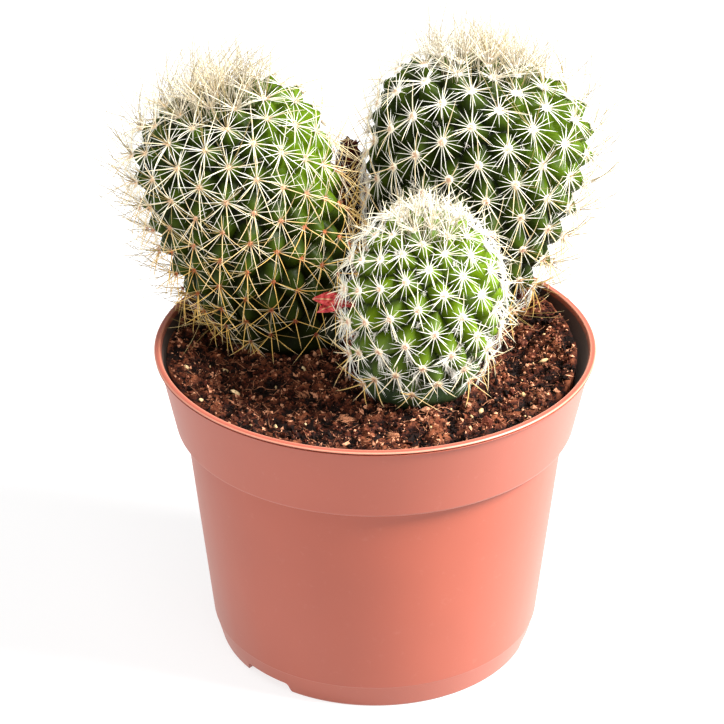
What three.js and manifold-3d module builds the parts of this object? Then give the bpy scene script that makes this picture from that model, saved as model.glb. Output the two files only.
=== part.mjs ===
// A round nursery pot of peat with three spiny globe cacti, a dried-up stem and a wilted flower.
// Millimetres, +Z up. The origin is the middle of the pot's underside, and the front faces -Y.
import * as THREE from 'three';
import { ConvexHull } from 'three/addons/math/ConvexHull.js';
import { mergeVertices } from 'three/addons/utils/BufferGeometryUtils.js';
import Module from 'manifold-3d';

const wasm = await Module();
wasm.setup();

const GAP = 0.3; // clearance between pieces that touch on the real plant

// Pot
const POT_HEIGHT = 90;
const RIM_RADIUS = 60;
const LIP_WIDTH = 1.8;
const LIP_HEIGHT = 1.2;
const WALL = 1.5;
const BAND_BOTTOM = 68.1;
const BAND_RADIUS_LOW = 54.8;
const BAND_RADIUS_HIGH = 59;
const BODY_RADIUS = 52.2;
const FOOT_HEIGHT = 7.4;
const FOOT_TOP_RADIUS = 45.9;
const BASE_RADIUS = 44.1;
const FOOT_RING_WIDTH = 2.7;
const FLOOR_LIFT = 3.4;
const CENTRE_PAD_RADIUS = 14;
const NOTCH_AZIMUTHS = [-132.5, -12.5, 107.5];
const NOTCH_WIDTH = 19.5;
const NOTCH_HEIGHT = 3;
const DRAIN_AZIMUTHS = [-72.5, 47.5, 167.5];
const DRAIN_RADIUS = 3.5;
const DRAIN_CIRCLE = 30;
const POT_SIDES = 48;

// Peat
const SOIL_EDGE_HEIGHT = 83.2;
const SOIL_MOUND = 2.8;
const MOUND_AT = [12, -20];
const MOUND_SPREAD = 20;
const SHRINK_AZIMUTH = -8; // the peat has drawn back from the wall most on this side
const SHRINK = 1.7;
const SOIL_SIDES = 48;
const SOIL_RINGS = 8;
const CRUMB = 0.3; // crumbs stand this far above and below the smooth surface

// Tubercles and spines
const UNDERSIDE = 1.2; // the body's flat underside clears the peat by this much
const LOWEST_AREOLE = 3.2;
const NECK_DEPTH = 11;
const NECK_RISE = 4;
const NECK_SIDES = 24;
const AREOLE_SIDES = 5; // one spine rises from each side of the areole
const AREOLE_RADIUS = 0.8;
const AREOLE_RISE = 0.8;
const VALLEY_DEPTH = 0.5; // of the square root of the cell that an areole has
const VALLEY_SHARES = [0, 0.3, 0.6, 1]; // by how many of a valley's three sites bear areoles
const RADIAL_RISE = [0.2, 0.42]; // spine angles above the skin, in radians
const CENTRAL_RISE = [0.62, 0.95];
const CROWN_RISE = [1.05, 1.4];
const CROWN_FADE = 0.07; // share of the height over which crown spines give way to the others
const SPINE_THICK = 0.5;
const SPINE_POINT = 0.03;
const SPINE_CLEARANCE = 0.25;
const SPINE_DRAWS = 36;
const SPINE_REACH = 28; // spines rooted further apart than this can't meet
const SHORTEST_SPINE = 1.2;
const UPRIGHT_OVER = 26; // rings stand level at the peat and lean fully this far up

// Each plant: foot on the peat, lean of the crown, outline through the tubercle tips, areole pattern.
// divergence is the turn from one areole to the next, cell the surface that each one has.
const PLANTS = [
  {
    name: 'cactus_front', foot: [11, -14.7, 86], lean: [3.1, -7], height: 50.4, widest: 24.8,
    radius: 21.1, footRadius: 14.9, dome: 2.37, domeRoot: 2.17, waist: 1.8, neckRadius: 8.6,
    divergence: -137.437, firstAzimuth: 52.4, cell: 75.4, crownShare: 0.3, crownArea: 1420,
    radial: 5.6, central: 7.5, crown: 9.5, seed: 11, colour: 0x5f9129,
  },
  {
    name: 'cactus_left', foot: [-24.4, 21.5, 84], lean: [-19.5, -3.8], height: 70.7, widest: 45.6,
    radius: 27.4, footRadius: 18.6, dome: 3.39, domeRoot: 2.45, waist: 1.8, neckRadius: 11.6,
    divergence: -137.491, firstAzimuth: 324.7, cell: 65.8, crownShare: 0.58, crownArea: 126,
    radial: 6.4, central: 12, crown: 13, seed: 23, colour: 0x4b7a2b,
  },
  {
    name: 'cactus_back', foot: [19.3, 28.4, 84], lean: [14.7, 9.1], height: 72.4, widest: 50,
    radius: 31.1, footRadius: 18.5, dome: 3.13, domeRoot: 2.21, waist: 1.8, neckRadius: 11.6,
    divergence: 137.505, firstAzimuth: 190, cell: 84.5, crownShare: 0.59, crownArea: 914,
    radial: 6.6, central: 12, crown: 13, seed: 37, colour: 0x47742f,
  },
];

// Dried-up stem behind the plants, and the wilted flower on the front plant's left flank
const STEM_FOOT = [-5, 46, 84.2];
const STEM_TOP = [-7.3, 46, 128.6];
const STEM_RADIUS = 3.1;
const STEM_FOOT_RADIUS = 4.2;
const STEM_HOLE_RADIUS = 5.4;
const STEM_DEPTH = 7;
const FLOWER_ROOT_NEAR = [-3.1, -14, 106.7];
const FLOWER_TIP = [-15.2, -12.5, 107.6];
const FLOWER_RADIUS = 2.3;
const FLOWER_STALK = 7.5; // how far the stalk stands straight out of the valley
const FLATTENED = 0.62; // the withered corolla's thickness over its width

const DEG = Math.PI / 180;
const TURN = 2 * Math.PI;
const vec = (x, y, z) => new THREE.Vector3(x, y, z);
const mix = (a, b, k) => a + (b - a) * k;
const smooth = (k) => k * k * (3 - 2 * k);

function randomFrom(seed) {
  let state = seed;
  return () => {
    state = (state + 0x6d2b79f5) | 0;
    let t = Math.imul(state ^ (state >>> 15), 1 | state);
    t = (t + Math.imul(t ^ (t >>> 7), 61 | t)) ^ t;
    return ((t ^ (t >>> 14)) >>> 0) / 4294967296;
  };
}

// Solids and geometries
function meshFrom(points, faces) {
  const geometry = new THREE.BufferGeometry();
  const numbers = points.flatMap((p) => [p.x, p.y, p.z]);
  geometry.setAttribute('position', new THREE.Float32BufferAttribute(numbers, 3));
  geometry.setIndex(faces.flat());
  return geometry;
}

function toSolid(geometry) {
  const bare = geometry.clone();
  bare.deleteAttribute('normal');
  bare.deleteAttribute('uv');
  const merged = mergeVertices(bare, 1e-4);
  return new wasm.Manifold(new wasm.Mesh({
    numProp: 3,
    vertProperties: new Float32Array(merged.attributes.position.array),
    triVerts: new Uint32Array(merged.index.array),
  }));
}

function fromSolid(solid) {
  const mesh = solid.getMesh();
  const geometry = new THREE.BufferGeometry();
  geometry.setAttribute('position', new THREE.BufferAttribute(new Float32Array(mesh.vertProperties), 3));
  geometry.setIndex(new THREE.BufferAttribute(new Uint32Array(mesh.triVerts), 1));
  return geometry;
}

// A solid of revolution about Z from a profile of [radius, height] points, bottom to top outside.
function turned(profile, sides) {
  const lathe = new THREE.LatheGeometry(profile.map(([r, z]) => new THREE.Vector2(r, z)), sides);
  return lathe.rotateX(Math.PI / 2);
}

function uprightCylinder(radius, low, high, sides, x = 0, y = 0) {
  return turned([[0, low], [radius, low], [radius, high], [0, high]], sides).translate(x, y, 0);
}

// Pot
function potProfile() {
  const floorTop = FLOOR_LIFT + WALL;
  const underBand = BAND_BOTTOM - 0.6;
  const lipBottom = POT_HEIGHT - LIP_HEIGHT;
  return [
    [0, 0], [CENTRE_PAD_RADIUS, 0], [CENTRE_PAD_RADIUS + 1, FLOOR_LIFT],
    [BASE_RADIUS - FOOT_RING_WIDTH - 0.6, FLOOR_LIFT], [BASE_RADIUS - FOOT_RING_WIDTH, 0],
    [BASE_RADIUS - 0.4, 0], [BASE_RADIUS, 0.5], [FOOT_TOP_RADIUS, FOOT_HEIGHT],
    [BODY_RADIUS, underBand], [BAND_RADIUS_LOW - 0.4, underBand], [BAND_RADIUS_LOW, BAND_BOTTOM],
    [BAND_RADIUS_HIGH, lipBottom], [RIM_RADIUS - 0.3, lipBottom], [RIM_RADIUS, lipBottom + 0.35],
    [RIM_RADIUS, POT_HEIGHT - 0.35], [RIM_RADIUS - 0.35, POT_HEIGHT],
    [RIM_RADIUS - LIP_WIDTH + 0.3, POT_HEIGHT], [RIM_RADIUS - LIP_WIDTH, POT_HEIGHT - 0.4],
    [BAND_RADIUS_LOW - WALL, underBand + WALL], [BODY_RADIUS - WALL, underBand + WALL],
    [FOOT_TOP_RADIUS - WALL, FOOT_HEIGHT], [BASE_RADIUS - WALL, floorTop],
    [CENTRE_PAD_RADIUS - 1, floorTop], [CENTRE_PAD_RADIUS - 1.6, WALL], [0, WALL],
  ];
}

// A rounded drainage notch through the foot ring, open at the bottom.
function notch(azimuth) {
  const half = NOTCH_WIDTH / 2;
  const shape = new THREE.Shape();
  shape.moveTo(-half, -1);
  shape.lineTo(half, -1);
  shape.quadraticCurveTo(half - 1.6, 0.4, half - 2, NOTCH_HEIGHT - 0.8);
  shape.quadraticCurveTo(half - 2.2, NOTCH_HEIGHT, half - 3, NOTCH_HEIGHT);
  shape.lineTo(3 - half, NOTCH_HEIGHT);
  shape.quadraticCurveTo(2.2 - half, NOTCH_HEIGHT, 2 - half, NOTCH_HEIGHT - 0.8);
  shape.quadraticCurveTo(1.6 - half, 0.4, -half, -1);
  const depth = 3 * FOOT_RING_WIDTH;
  const block = new THREE.ExtrudeGeometry(shape, { depth, bevelEnabled: false, curveSegments: 3 });
  return block.rotateX(Math.PI / 2).translate(0, BASE_RADIUS + 0.4 * FOOT_RING_WIDTH, 0)
    .rotateZ((azimuth - 90) * DEG);
}

function potGeometry() {
  let pot = toSolid(turned(potProfile(), POT_SIDES));
  for (const azimuth of NOTCH_AZIMUTHS) pot = pot.subtract(toSolid(notch(azimuth)));
  for (const azimuth of DRAIN_AZIMUTHS) {
    const x = DRAIN_CIRCLE * Math.cos(azimuth * DEG);
    const y = DRAIN_CIRCLE * Math.sin(azimuth * DEG);
    pot = pot.subtract(toSolid(uprightCylinder(DRAIN_RADIUS, -1, FLOOR_LIFT + 2 * WALL, 12, x, y)));
  }
  return fromSolid(pot);
}

// Peat
function soilHeight(x, y) {
  const off = ((x - MOUND_AT[0]) ** 2 + (y - MOUND_AT[1]) ** 2) / (2 * MOUND_SPREAD ** 2);
  const lumps = 0.22 * Math.sin(0.37 * x + 0.9) * Math.cos(0.41 * y) + 0.16 * Math.sin(0.83 * x - 0.6 * y);
  return SOIL_EDGE_HEIGHT + SOIL_MOUND * Math.exp(-off) + lumps;
}

function soilEdge(azimuth) {
  const facing = Math.max(0, Math.cos(azimuth - SHRINK_AZIMUTH * DEG));
  return 55.9 - SHRINK * facing ** 3 - 0.35 * (1 + Math.sin(7 * azimuth));
}

function soilSolid() {
  const random = randomFrom(5);
  const points = [];
  const faces = [];
  const crumbly = (x, y) => soilHeight(x, y) + CRUMB * (2 * random() - 1);
  const ring = (radiusAt, heightAt) => {
    for (let i = 0; i < SOIL_SIDES; i += 1) {
      const a = (TURN * i) / SOIL_SIDES;
      const x = radiusAt(a) * Math.cos(a);
      const y = radiusAt(a) * Math.sin(a);
      points.push(vec(x, y, heightAt(x, y)));
    }
  };
  points.push(vec(0, 0, soilHeight(0, 0)));
  for (let k = 1; k <= SOIL_RINGS; k += 1) ring((a) => (soilEdge(a) * k) / SOIL_RINGS, crumbly);
  const floorTop = FLOOR_LIFT + WALL + GAP;
  const underBand = BAND_BOTTOM - 0.6 + WALL;
  const side = [
    [BAND_RADIUS_LOW - WALL + 0.9, 76], [BAND_RADIUS_LOW - WALL - 0.1 - GAP, underBand + GAP],
    [BODY_RADIUS - WALL - GAP - 0.1, underBand + GAP], [FOOT_TOP_RADIUS - WALL - GAP - 0.1, FOOT_HEIGHT],
    [BASE_RADIUS - WALL - GAP - 0.3, floorTop], [CENTRE_PAD_RADIUS - 1 - GAP, floorTop],
    [CENTRE_PAD_RADIUS - 1.6 - GAP, WALL + GAP],
  ];
  for (const [radius, height] of side) ring(() => radius, () => height);
  points.push(vec(0, 0, WALL + GAP));
  const last = points.length - 1;
  for (let i = 0; i < SOIL_SIDES; i += 1) {
    const j = (i + 1) % SOIL_SIDES;
    faces.push([0, 1 + i, 1 + j]);
    for (let k = 0; k + 1 < SOIL_RINGS + side.length; k += 1) {
      const near = 1 + k * SOIL_SIDES;
      const far = near + SOIL_SIDES;
      faces.push([near + i, far + i, far + j], [near + i, far + j, near + j]);
    }
    faces.push([last, last - SOIL_SIDES + j, last - SOIL_SIDES + i]);
  }
  return toSolid(meshFrom(points, faces));
}

function soilGeometry() {
  let soil = soilSolid();
  for (const { foot, neckRadius } of PLANTS) {
    const [x, y, z] = foot;
    const hole = uprightCylinder(neckRadius + GAP, z - NECK_DEPTH - GAP, POT_HEIGHT, NECK_SIDES, x, y);
    soil = soil.subtract(toSolid(hole));
  }
  const [x, y, z] = STEM_FOOT;
  const hole = uprightCylinder(STEM_HOLE_RADIUS, z - STEM_DEPTH - GAP, POT_HEIGHT, 16, x, y);
  return fromSolid(soil.subtract(toSolid(hole)));
}

// Cactus outline: a dome above the widest ring and a waist below it
function outlineRadius(plant, h) {
  if (h >= plant.widest) {
    const up = Math.min(1, (h - plant.widest) / (plant.height - plant.widest));
    return plant.radius * (1 - up ** plant.dome) ** (1 / plant.domeRoot);
  }
  const down = (plant.widest - h) / plant.widest;
  return plant.radius - (plant.radius - plant.footRadius) * down ** plant.waist;
}

// The outline from the crown down the flank and in under the body, with the surface above each point.
function outlineTable(plant) {
  const steps = 500;
  const rows = [];
  for (let i = 0; i <= steps; i += 1) {
    const h = mix(UNDERSIDE + 0.6, plant.height, Math.cos(((i / steps) * Math.PI) / 2));
    rows.push({ h, r: outlineRadius(plant, h) });
  }
  const edge = rows[steps].r;
  for (let i = 0; i < 60; i += 1) rows.push({ h: UNDERSIDE, r: (edge - 0.8) * (1 - i / 60) });
  rows[0].area = 0;
  rows[0].stretch = 0;
  for (let i = 1; i < rows.length; i += 1) {
    const mean = (rows[i].r + rows[i - 1].r) / 2;
    const length = Math.hypot(rows[i].h - rows[i - 1].h, rows[i].r - rows[i - 1].r);
    rows[i].area = rows[i - 1].area + TURN * mean * length;
    rows[i].stretch = rows[i - 1].stretch + length / Math.max(mean, 0.05);
  }
  const widestRow = rows.reduce((best, row) => (row.r > best.r ? row : best));
  for (const row of rows) {
    row.latitude = 2 * Math.atan(Math.exp(widestRow.stretch - row.stretch)) - Math.PI / 2;
  }
  return rows;
}

// Ring tilt: level at the peat, square to the leaning axis higher up.
function ringFrame(plant, h) {
  const share = smooth(Math.min(1, Math.max(0, h / UPRIGHT_OVER)));
  const axis = vec(plant.lean[0] * share, plant.lean[1] * share, plant.height).normalize();
  const right = vec(1, 0, 0).addScaledVector(axis, -axis.x).normalize();
  return { right, ahead: axis.clone().cross(right) };
}

function surfacePoint(plant, h, r, azimuth) {
  const { right, ahead } = ringFrame(plant, h);
  const k = h / plant.height;
  return vec(plant.lean[0] * k, plant.lean[1] * k, h)
    .addScaledVector(right, r * Math.cos(azimuth)).addScaledVector(ahead, r * Math.sin(azimuth));
}

// Areole sites down the spiral, and plain ones that carry the skin on under the body.
function placeSites(plant) {
  const rows = outlineTable(plant);
  const sites = [];
  let count = 0;
  let next = 0.5;
  for (let i = 1; i < rows.length; i += 1) {
    const young = (1 - plant.crownShare) * Math.exp(-rows[i].area / plant.crownArea);
    const cell = plant.cell * (1 - young);
    const added = (rows[i].area - rows[i - 1].area) / cell;
    while (added > 0 && next <= count + added) {
      const k = (next - count) / added;
      const a = rows[i - 1];
      const b = rows[i];
      const azimuth = (plant.firstAzimuth + plant.divergence * sites.length) * DEG;
      const h = mix(a.h, b.h, k);
      const r = Math.max(0.05, mix(a.r, b.r, k));
      const latitude = mix(a.latitude, b.latitude, k);
      sites.push({
        h, r, azimuth, cell, woolly: h > LOWEST_AREOLE,
        at: surfacePoint(plant, h, r, azimuth),
        onBall: new THREE.Vector3().setFromSphericalCoords(1, Math.PI / 2 - latitude, azimuth),
      });
      next += 1;
    }
    count += added;
  }
  for (const site of sites) addFrame(plant, site);
  return sites;
}

// Outward normal and two tangents at a site.
function addFrame(plant, site) {
  const step = 0.4;
  if (site.woolly) {
    const high = Math.min(site.h + step, plant.height - 1e-3);
    const up = surfacePoint(plant, high, outlineRadius(plant, high), site.azimuth);
    const low = site.h - step;
    up.sub(surfacePoint(plant, low, outlineRadius(plant, low), site.azimuth));
    const round = surfacePoint(plant, site.h, site.r, site.azimuth + 0.02).sub(site.at);
    site.normal = round.cross(up).normalize();
  } else {
    const side = site.h > UNDERSIDE ? 0.3 : 0;
    site.normal = vec(Math.cos(site.azimuth) * side, Math.sin(site.azimuth) * side, side - 1).normalize();
  }
  const level = Math.abs(site.normal.z) > 0.99 ? vec(1, 0, 0) : vec(0, 0, 1);
  site.across = level.cross(site.normal).normalize();
  site.upward = site.normal.clone().cross(site.across);
}

// Triangles between neighbouring sites, found on the ball that the surface maps to without shear.
function neighbourTriangles(sites) {
  const index = new Map(sites.map((site, i) => [site.onBall, i]));
  const hull = new ConvexHull().setFromPoints(sites.map((site) => site.onBall));
  return hull.faces.map((face) => {
    const corners = [];
    let edge = face.edge;
    do {
      corners.push(index.get(edge.head().point));
      edge = edge.next;
    } while (edge !== face.edge);
    return corners;
  });
}

// For each site, the triangles round it, anticlockwise from outside.
function trianglesRound(triangles, count) {
  const leaving = Array.from({ length: count }, () => new Map());
  triangles.forEach((corners, t) => {
    corners.forEach((a, k) => leaving[a].set(corners[(k + 1) % 3], { t, closes: corners[(k + 2) % 3] }));
  });
  return leaving.map((map) => {
    const loop = [];
    let key = map.keys().next().value;
    for (let i = 0; i < map.size; i += 1) {
      const { t, closes } = map.get(key);
      loop.push(t);
      key = closes;
    }
    return loop;
  });
}

// Faces of the ring between an inner and an outer loop of { id, angle }, both anticlockwise.
function bridge(inner, outer, faces) {
  const start = inner[0].angle;
  const unroll = (loop) => loop
    .map(({ id, angle }) => ({ id, angle: start + ((((angle - start) % TURN) + TURN) % TURN) }))
    .sort((p, q) => p.angle - q.angle);
  const close = (loop) => [...loop, { id: loop[0].id, angle: loop[0].angle + TURN }];
  const a = close(unroll(inner));
  const b = close(unroll(outer));
  let i = 0;
  let j = 0;
  while (i < a.length - 1 || j < b.length - 1) {
    const middleA = i < a.length - 1 ? a[i].angle + a[i + 1].angle : Infinity;
    const middleB = j < b.length - 1 ? b[j].angle + b[j + 1].angle : Infinity;
    if (middleA < middleB) {
      faces.push([a[i].id, b[j].id, a[i + 1].id]);
      i += 1;
    } else {
      faces.push([a[i].id, b[j].id, b[j + 1].id]);
      j += 1;
    }
  }
}

// Nearest distance of two segments, less their tapering radii there.
function segmentClearance(p, q) {
  const w = p.from.clone().sub(q.from);
  const a = p.run.dot(p.run);
  const b = p.run.dot(q.run);
  const c = q.run.dot(q.run);
  const d = p.run.dot(w);
  const e = q.run.dot(w);
  const det = a * c - b * b;
  const clamp = (k) => Math.min(1, Math.max(0, k));
  let s = det > 1e-9 ? clamp((b * e - c * d) / det) : 0;
  const t = clamp((b * s + e) / c);
  s = clamp((b * t - d) / a);
  const apart = w.addScaledVector(p.run, s).addScaledVector(q.run, -t).length();
  return apart - mix(p.thick, p.thin, s) - mix(q.thick, q.thin, t);
}

// Clearance of a spine from the peat, the rim and the other plants' tubercle tips.
function fixedClearance(plant, spine) {
  let least = Infinity;
  for (const k of [0.25, 0.5, 0.75, 1]) {
    const x = spine.from.x + spine.run.x * k;
    const y = spine.from.y + spine.run.y * k;
    const z = spine.from.z + spine.run.z * k;
    least = Math.min(least, z - soilHeight(x, y) - 0.4);
    if (z < POT_HEIGHT + 0.8) least = Math.min(least, RIM_RADIUS - LIP_WIDTH - 1 - Math.hypot(x, y));
    for (const other of PLANTS) {
      if (other === plant) continue;
      const h = z - other.foot[2];
      if (h < 0 || h > other.height + 3) continue;
      const up = Math.min(1, h / other.height);
      const axisX = other.foot[0] + other.lean[0] * up;
      const axisY = other.foot[1] + other.lean[1] * up;
      const away = Math.hypot(x - axisX, y - axisY);
      least = Math.min(least, away - outlineRadius(other, Math.min(h, other.height)) - AREOLE_RISE - 0.5);
    }
  }
  return least;
}

function spineFrom(base, direction, length) {
  const run = direction.clone().multiplyScalar(length);
  return { from: base, run, thick: SPINE_THICK, thin: SPINE_POINT, length };
}

// The spines of one areole: direction by direction, each the clearest of a few seeded draws.
function growSpines(plant, site, random, grown) {
  const foot = vec(...plant.foot);
  const young = Math.exp(-((1 - site.h / plant.height) / CROWN_FADE));
  const start = random() * TURN;
  const tips = [];
  for (let i = 0; i < AREOLE_SIDES; i += 1) {
    const central = i === 0;
    const around = start + ((i + 0.5) * TURN) / AREOLE_SIDES;
    const base = foot.clone().add(site.at).addScaledVector(site.normal, AREOLE_RISE / 3)
      .addScaledVector(site.across, (AREOLE_RADIUS / 2) * Math.cos(around))
      .addScaledVector(site.upward, (AREOLE_RADIUS / 2) * Math.sin(around));
    const near = grown.filter((q) => q.site !== site && (!q.site || q.from.distanceTo(base) < SPINE_REACH));
    const clearanceOf = (spine) => (
      Math.min(fixedClearance(plant, spine), ...near.map((q) => segmentClearance(spine, q)))
    );
    const grownLength = central ? plant.central : plant.radial;
    const length = mix(grownLength, plant.crown, young) * mix(0.88, 1.08, random());
    let best = null;
    for (let draw = 0; draw < SPINE_DRAWS; draw += 1) {
      const loosen = draw / SPINE_DRAWS;
      const azimuth = around + (random() - 0.5) * mix(0.3, 0.9, loosen);
      const grownRise = mix(...(central ? CENTRAL_RISE : RADIAL_RISE), random() * (1 + loosen));
      const rise = mix(grownRise, mix(...CROWN_RISE, random()), young);
      const direction = vec(0, 0, 0).addScaledVector(site.normal, Math.sin(rise))
        .addScaledVector(site.across, Math.cos(rise) * Math.cos(azimuth))
        .addScaledVector(site.upward, Math.cos(rise) * Math.sin(azimuth));
      const spine = spineFrom(base, direction, length * (1 - 0.3 * loosen));
      const clear = clearanceOf(spine);
      if (best === null || clear > best.clear) best = { spine, direction, clear };
      if (clear > SPINE_CLEARANCE) break;
    }
    while (best.clear < SPINE_CLEARANCE && best.spine.length > SHORTEST_SPINE) {
      const spine = spineFrom(base, best.direction, best.spine.length * 0.85);
      best = { spine, direction: best.direction, clear: clearanceOf(spine) };
    }
    best.spine.site = site;
    grown.push(best.spine);
    tips.push(best.spine.from.clone().add(best.spine.run).sub(foot));
  }
  return { start, tips };
}

// Skin of tubercles, with an areole and its spines raised from each tip.
function cactusGeometry(plant, grown, valleys) {
  const random = randomFrom(plant.seed);
  const sites = placeSites(plant);
  const triangles = neighbourTriangles(sites);
  const points = triangles.map((corners) => {
    const three = corners.map((i) => sites[i]);
    const inward = vec(0, 0, 0);
    const middle = vec(0, 0, 0);
    for (const site of three) {
      middle.addScaledVector(site.at, 1 / 3);
      inward.sub(site.normal);
    }
    const woolly = three.filter((site) => site.woolly).length;
    const cell = three.reduce((sum, site) => sum + site.cell / 3, 0);
    const depth = VALLEY_DEPTH * Math.sqrt(cell) * VALLEY_SHARES[woolly];
    return middle.addScaledVector(inward.normalize(), depth);
  });
  valleys.push(...points.map((p) => p.clone().add(vec(...plant.foot))));
  const faces = [];
  const angleAt = (site, p) => {
    const d = p.clone().sub(site.at);
    return Math.atan2(d.dot(site.upward), d.dot(site.across));
  };
  trianglesRound(triangles, sites.length).forEach((loop, s) => {
    const site = sites[s];
    if (!site.woolly) {
      const hub = points.push(site.at.clone()) - 1;
      loop.forEach((t, k) => faces.push([hub, t, loop[(k + 1) % loop.length]]));
      return;
    }
    const { start, tips } = growSpines(plant, site, random, grown);
    const size = AREOLE_RADIUS * Math.min(1, Math.sqrt(site.cell / plant.cell) + 0.1);
    const hub = points.push(site.at.clone().addScaledVector(site.normal, AREOLE_RISE)) - 1;
    const rim = [];
    for (let i = 0; i < AREOLE_SIDES; i += 1) {
      const angle = start + (i * TURN) / AREOLE_SIDES;
      const corner = site.at.clone().addScaledVector(site.across, size * Math.cos(angle))
        .addScaledVector(site.upward, size * Math.sin(angle));
      rim.push({ id: points.push(corner) - 1, angle });
    }
    bridge(rim, loop.map((t) => ({ id: t, angle: angleAt(site, points[t]) })), faces);
    tips.forEach((tip, i) => {
      const top = points.push(tip) - 1;
      const a = rim[i].id;
      const b = rim[(i + 1) % AREOLE_SIDES].id;
      faces.push([hub, a, top], [a, b, top], [b, hub, top]);
    });
  });
  const neck = uprightCylinder(plant.neckRadius, -NECK_DEPTH, NECK_RISE, NECK_SIDES);
  return fromSolid(toSolid(meshFrom(points, faces)).add(toSolid(neck)));
}

// A closed skin through rings of points, with a pole at each end.
function skinOver(rings, poles) {
  const sides = rings[0].length;
  const points = [poles[0], ...rings.flat(), poles[1]];
  const faces = [];
  const last = points.length - 1;
  for (let i = 0; i < sides; i += 1) {
    const j = (i + 1) % sides;
    faces.push([0, 1 + j, 1 + i]);
    for (let k = 0; k + 1 < rings.length; k += 1) {
      const low = 1 + k * sides;
      faces.push([low + i, low + j, low + sides + j], [low + i, low + sides + j, low + sides + i]);
    }
    faces.push([last - sides + i, last - sides + j, last]);
  }
  return meshFrom(points, faces);
}

// Dried-up stem: wrinkled lengthwise, thicker at the foot, its foot in a hole in the peat.
function stemGeometry() {
  const sides = 14;
  const steps = 16;
  const bottom = vec(STEM_FOOT[0], STEM_FOOT[1], STEM_FOOT[2] - STEM_DEPTH);
  const top = vec(...STEM_TOP);
  const rings = [];
  for (let k = 0; k <= steps; k += 1) {
    const up = k / steps;
    const centre = vec(mix(bottom.x, top.x, up ** 1.5), bottom.y, mix(bottom.z, top.z, up));
    const waist = mix(STEM_FOOT_RADIUS, STEM_RADIUS, smooth(Math.min(1, up * 1.4)));
    const radius = waist * (1 + 0.1 * Math.sin(9 * up)) * Math.sqrt(Math.max(0.25, 1 - up ** 8));
    const ring = [];
    for (let i = 0; i < sides; i += 1) {
      const angle = (TURN * i) / sides;
      const wrinkle = 1 + 0.09 * Math.cos(7 * angle) + 0.05 * Math.sin(3 * angle + 14 * up);
      const spoke = vec(Math.cos(angle), Math.sin(angle), 0);
      ring.push(centre.clone().addScaledVector(spoke, radius * wrinkle));
    }
    rings.push(ring);
  }
  return skinOver(rings, [bottom, vec(top.x, top.y, top.z + 0.8)]);
}

// Wilted flower: a stalk out of the valley between tubercles, opening into five drooping petal tips.
function flowerGeometry(root) {
  const sides = 20;
  const [x, y] = PLANTS[0].foot;
  const outward = vec(root.x - x, root.y - y, 0).normalize();
  const bend = root.clone().addScaledVector(outward, FLOWER_STALK);
  const path = new THREE.QuadraticBezierCurve3(root, bend, vec(...FLOWER_TIP));
  const profile = [
    [0.08, 0.45], [0.3, 0.6], [0.5, 1.1], [0.66, 1.7],
    [0.82, 2.1], [0.95, FLOWER_RADIUS], [0.84, 1.3], [0.72, 0.6],
  ];
  const rings = profile.map(([k, radius], n) => {
    const ring = [];
    const centre = path.getPoint(k);
    const along = path.getTangent(k);
    const side = vec(0, 0, 1).cross(along).normalize();
    const up = along.clone().cross(side);
    for (let i = 0; i < sides; i += 1) {
      const angle = (TURN * i) / sides;
      const petal = Math.cos(5 * angle);
      const open = Math.min(1, Math.max(0, (k - 0.4) / 0.5));
      const r = radius * (1 + 0.13 * petal * open);
      ring.push(centre.clone().addScaledVector(along, (n < 6 ? 1.1 : 0.5) * petal * open)
        .addScaledVector(side, FLATTENED * r * Math.cos(angle)).addScaledVector(up, r * Math.sin(angle)));
    }
    return ring;
  });
  return skinOver(rings, [path.getPoint(0.06), path.getPoint(0.68)]);
}

// Pieces in place
const group = new THREE.Group();

function addPiece(name, geometry, colour, roughness, at = [0, 0, 0]) {
  const material = new THREE.MeshStandardMaterial({ color: colour, roughness, metalness: 0 });
  const mesh = new THREE.Mesh(geometry, material);
  mesh.name = name;
  mesh.position.set(...at);
  group.add(mesh);
}

// Spines keep off the dried stem and the flower as they keep off each other.
function keepOff(from, to, thick, thin) {
  return { from: vec(...from), run: vec(...to).sub(vec(...from)), thick, thin };
}

const grown = [
  keepOff(STEM_FOOT, STEM_TOP, STEM_FOOT_RADIUS + 1.2, STEM_RADIUS + 1.2),
  keepOff(FLOWER_ROOT_NEAR, FLOWER_TIP, 2, FLOWER_RADIUS + 1.6),
];

addPiece('pot', potGeometry(), 0xc0664f, 0.55);
addPiece('soil', soilGeometry(), 0x3a2118, 0.95);
const frontValleys = [];
for (const plant of PLANTS) {
  const valleys = plant === PLANTS[0] ? frontValleys : [];
  addPiece(plant.name, cactusGeometry(plant, grown, valleys), plant.colour, 0.6, plant.foot);
}
const rootNear = vec(...FLOWER_ROOT_NEAR);
const nearer = (a, b) => (b.distanceTo(rootNear) < a.distanceTo(rootNear) ? b : a);
const root = frontValleys.reduce(nearer);
addPiece('dried_stem', stemGeometry(), 0x6b3d22, 0.9);
addPiece('flower', flowerGeometry(root), 0xc4453f, 0.7);

export default group;
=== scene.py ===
# Three spiny globe cacti, a dried-up stem and a wilted flower in a terracotta-coloured nursery pot of peat.
# Lengths are in millimetres and become metres where a mesh is made. +Z is up and the front faces -Y.
import math

import bpy
import numpy as np
from mathutils import Matrix, Vector, kdtree, noise
import bmesh


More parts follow.
